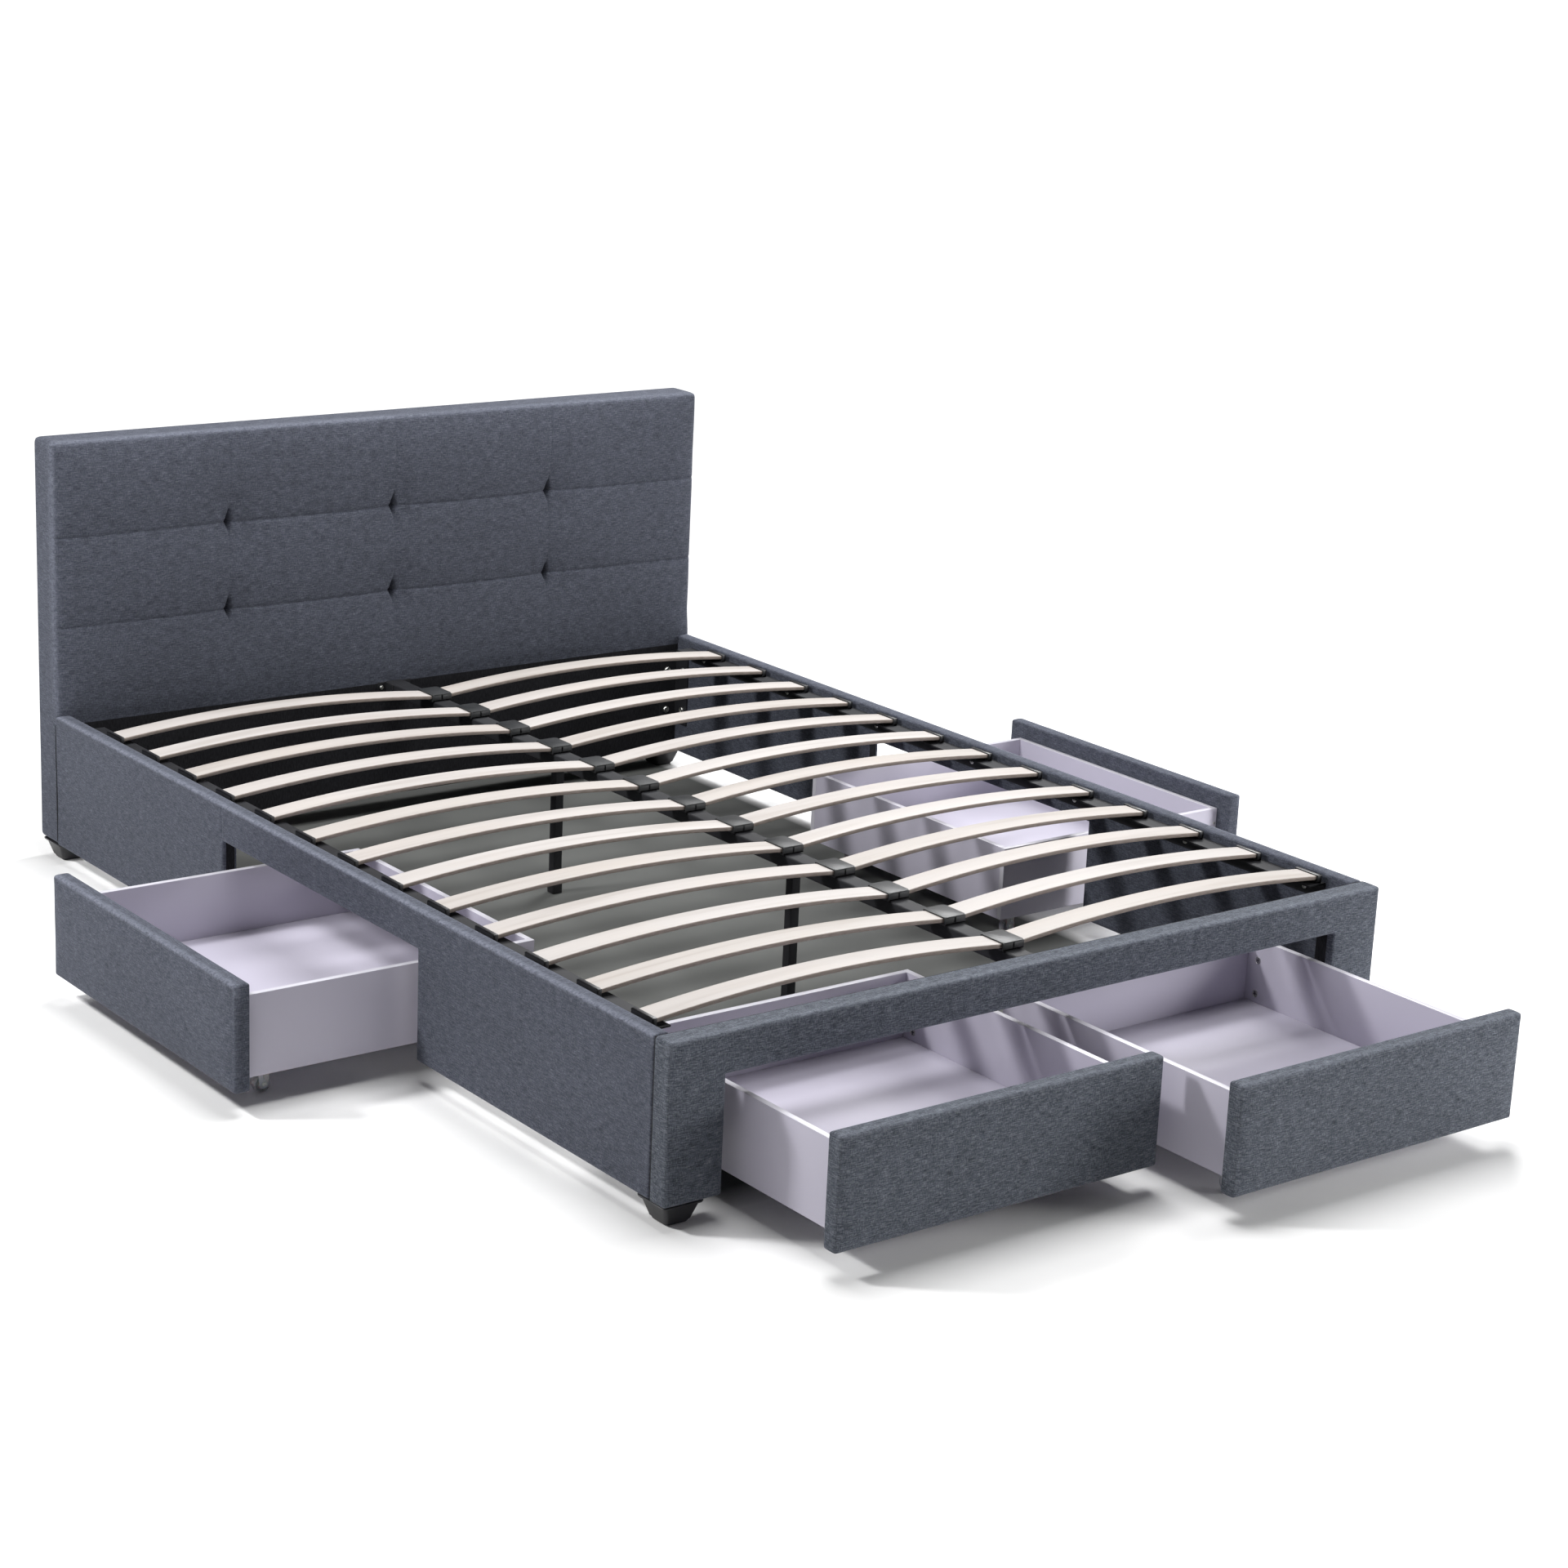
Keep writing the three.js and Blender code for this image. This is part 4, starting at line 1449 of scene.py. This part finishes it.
def area(name, place, target, size, power):
    data = bpy.data.lights.new(name, "AREA")
    data.shape = "RECTANGLE"
    data.size, data.size_y = size
    data.energy = power
    lamp = bpy.data.objects.new(name, data)
    lamp.location = place
    lamp.rotation_mode = "QUATERNION"
    lamp.rotation_quaternion = (Vector(target) - Vector(place)).to_track_quat("-Z", "Y")
    scene.collection.objects.link(lamp)


def light():
    """A small soft box low at the rear left, a wide one overhead and two on the right."""
    world = bpy.data.worlds.new("studio")
    scene.world = world
    n = Nodes(world)
    where = n.add("ShaderNodeTexCoord").outputs["Generated"]
    # Faint light from the left, and white below the horizon, which is what the camera sees
    # past the floor's edge.
    from_left, left_light, lower_light = (-0.958, 0.0, 0.287), 0.26, 1.15
    toward = n.add("ShaderNodeVectorMath", {0: where, 1: from_left}, operation="DOT_PRODUCT")
    side = n.span(toward.outputs["Value"], 0.0, 1.0, 0.0, left_light)
    below = n.math("LESS_THAN", n.parts(where)[2], 0.0)
    strength = n.math("MAXIMUM", side, n.math("MULTIPLY", below, lower_light))
    n.set(n.tree.nodes["Background"], {"Color": (1.0, 1.0, 1.0), "Strength": strength})
    aim = Vector((-0.1, -0.5, 0.1))
    for name, toward_light, away, size, power in (
        ("rear_left_box", (-1.0, 0.54, 0.90), 4.5, 0.5, 125),
        ("overhead_box", (0.0, 0.1, 1.0), 4.0, 2.0, 140),
        ("rear_right_box", (1.0, 0.8, 1.2), 4.5, 1.6, 165),
        ("front_right_box", (1.0, -1.0, 0.35), 4.5, 1.6, 145),
    ):
        at = aim + away * Vector(toward_light).normalized()
        area(name, at, aim, (size, size), power)
    scene.view_settings.view_transform = "Standard"
    scene.view_settings.look = "None"
    scene.view_settings.exposure = 0.0
    scene.view_settings.gamma = 1.0


def camera():
    data = bpy.data.cameras.new("camera")
    data.sensor_width = 36.0
    data.lens = 75.0
    data.clip_start, data.clip_end = 0.1, 100.0
    view = bpy.data.objects.new("camera", data)
    yaw, pitch, roll = (math.radians(a) for a in (37.8526, -16.1367, 2.622))
    forward = Vector(
        (math.sin(yaw) * math.cos(pitch), math.cos(yaw) * math.cos(pitch), math.sin(pitch))
    )
    right = Vector((math.cos(yaw), -math.sin(yaw), 0.0))
    up = right.cross(forward)
    r = right * math.cos(roll) + up * math.sin(roll)
    u = up * math.cos(roll) - right * math.sin(roll)
    turn = Matrix((r, u, -forward)).transposed().to_4x4()
    place = BED @ Vector((-3.5909, -3.8490, 2.1227))
    view.matrix_world = Matrix.Translation(place) @ turn
    scene.collection.objects.link(view)
    scene.camera = view


# ------------------------------------------------------------------ the whole scene

camera()
light()
floor()
headboard()
frame_panels()
ledgers()
centre_beam()
corner_brackets()
corner_feet()
slats()
drawers()

bpy.context.view_layer.update()
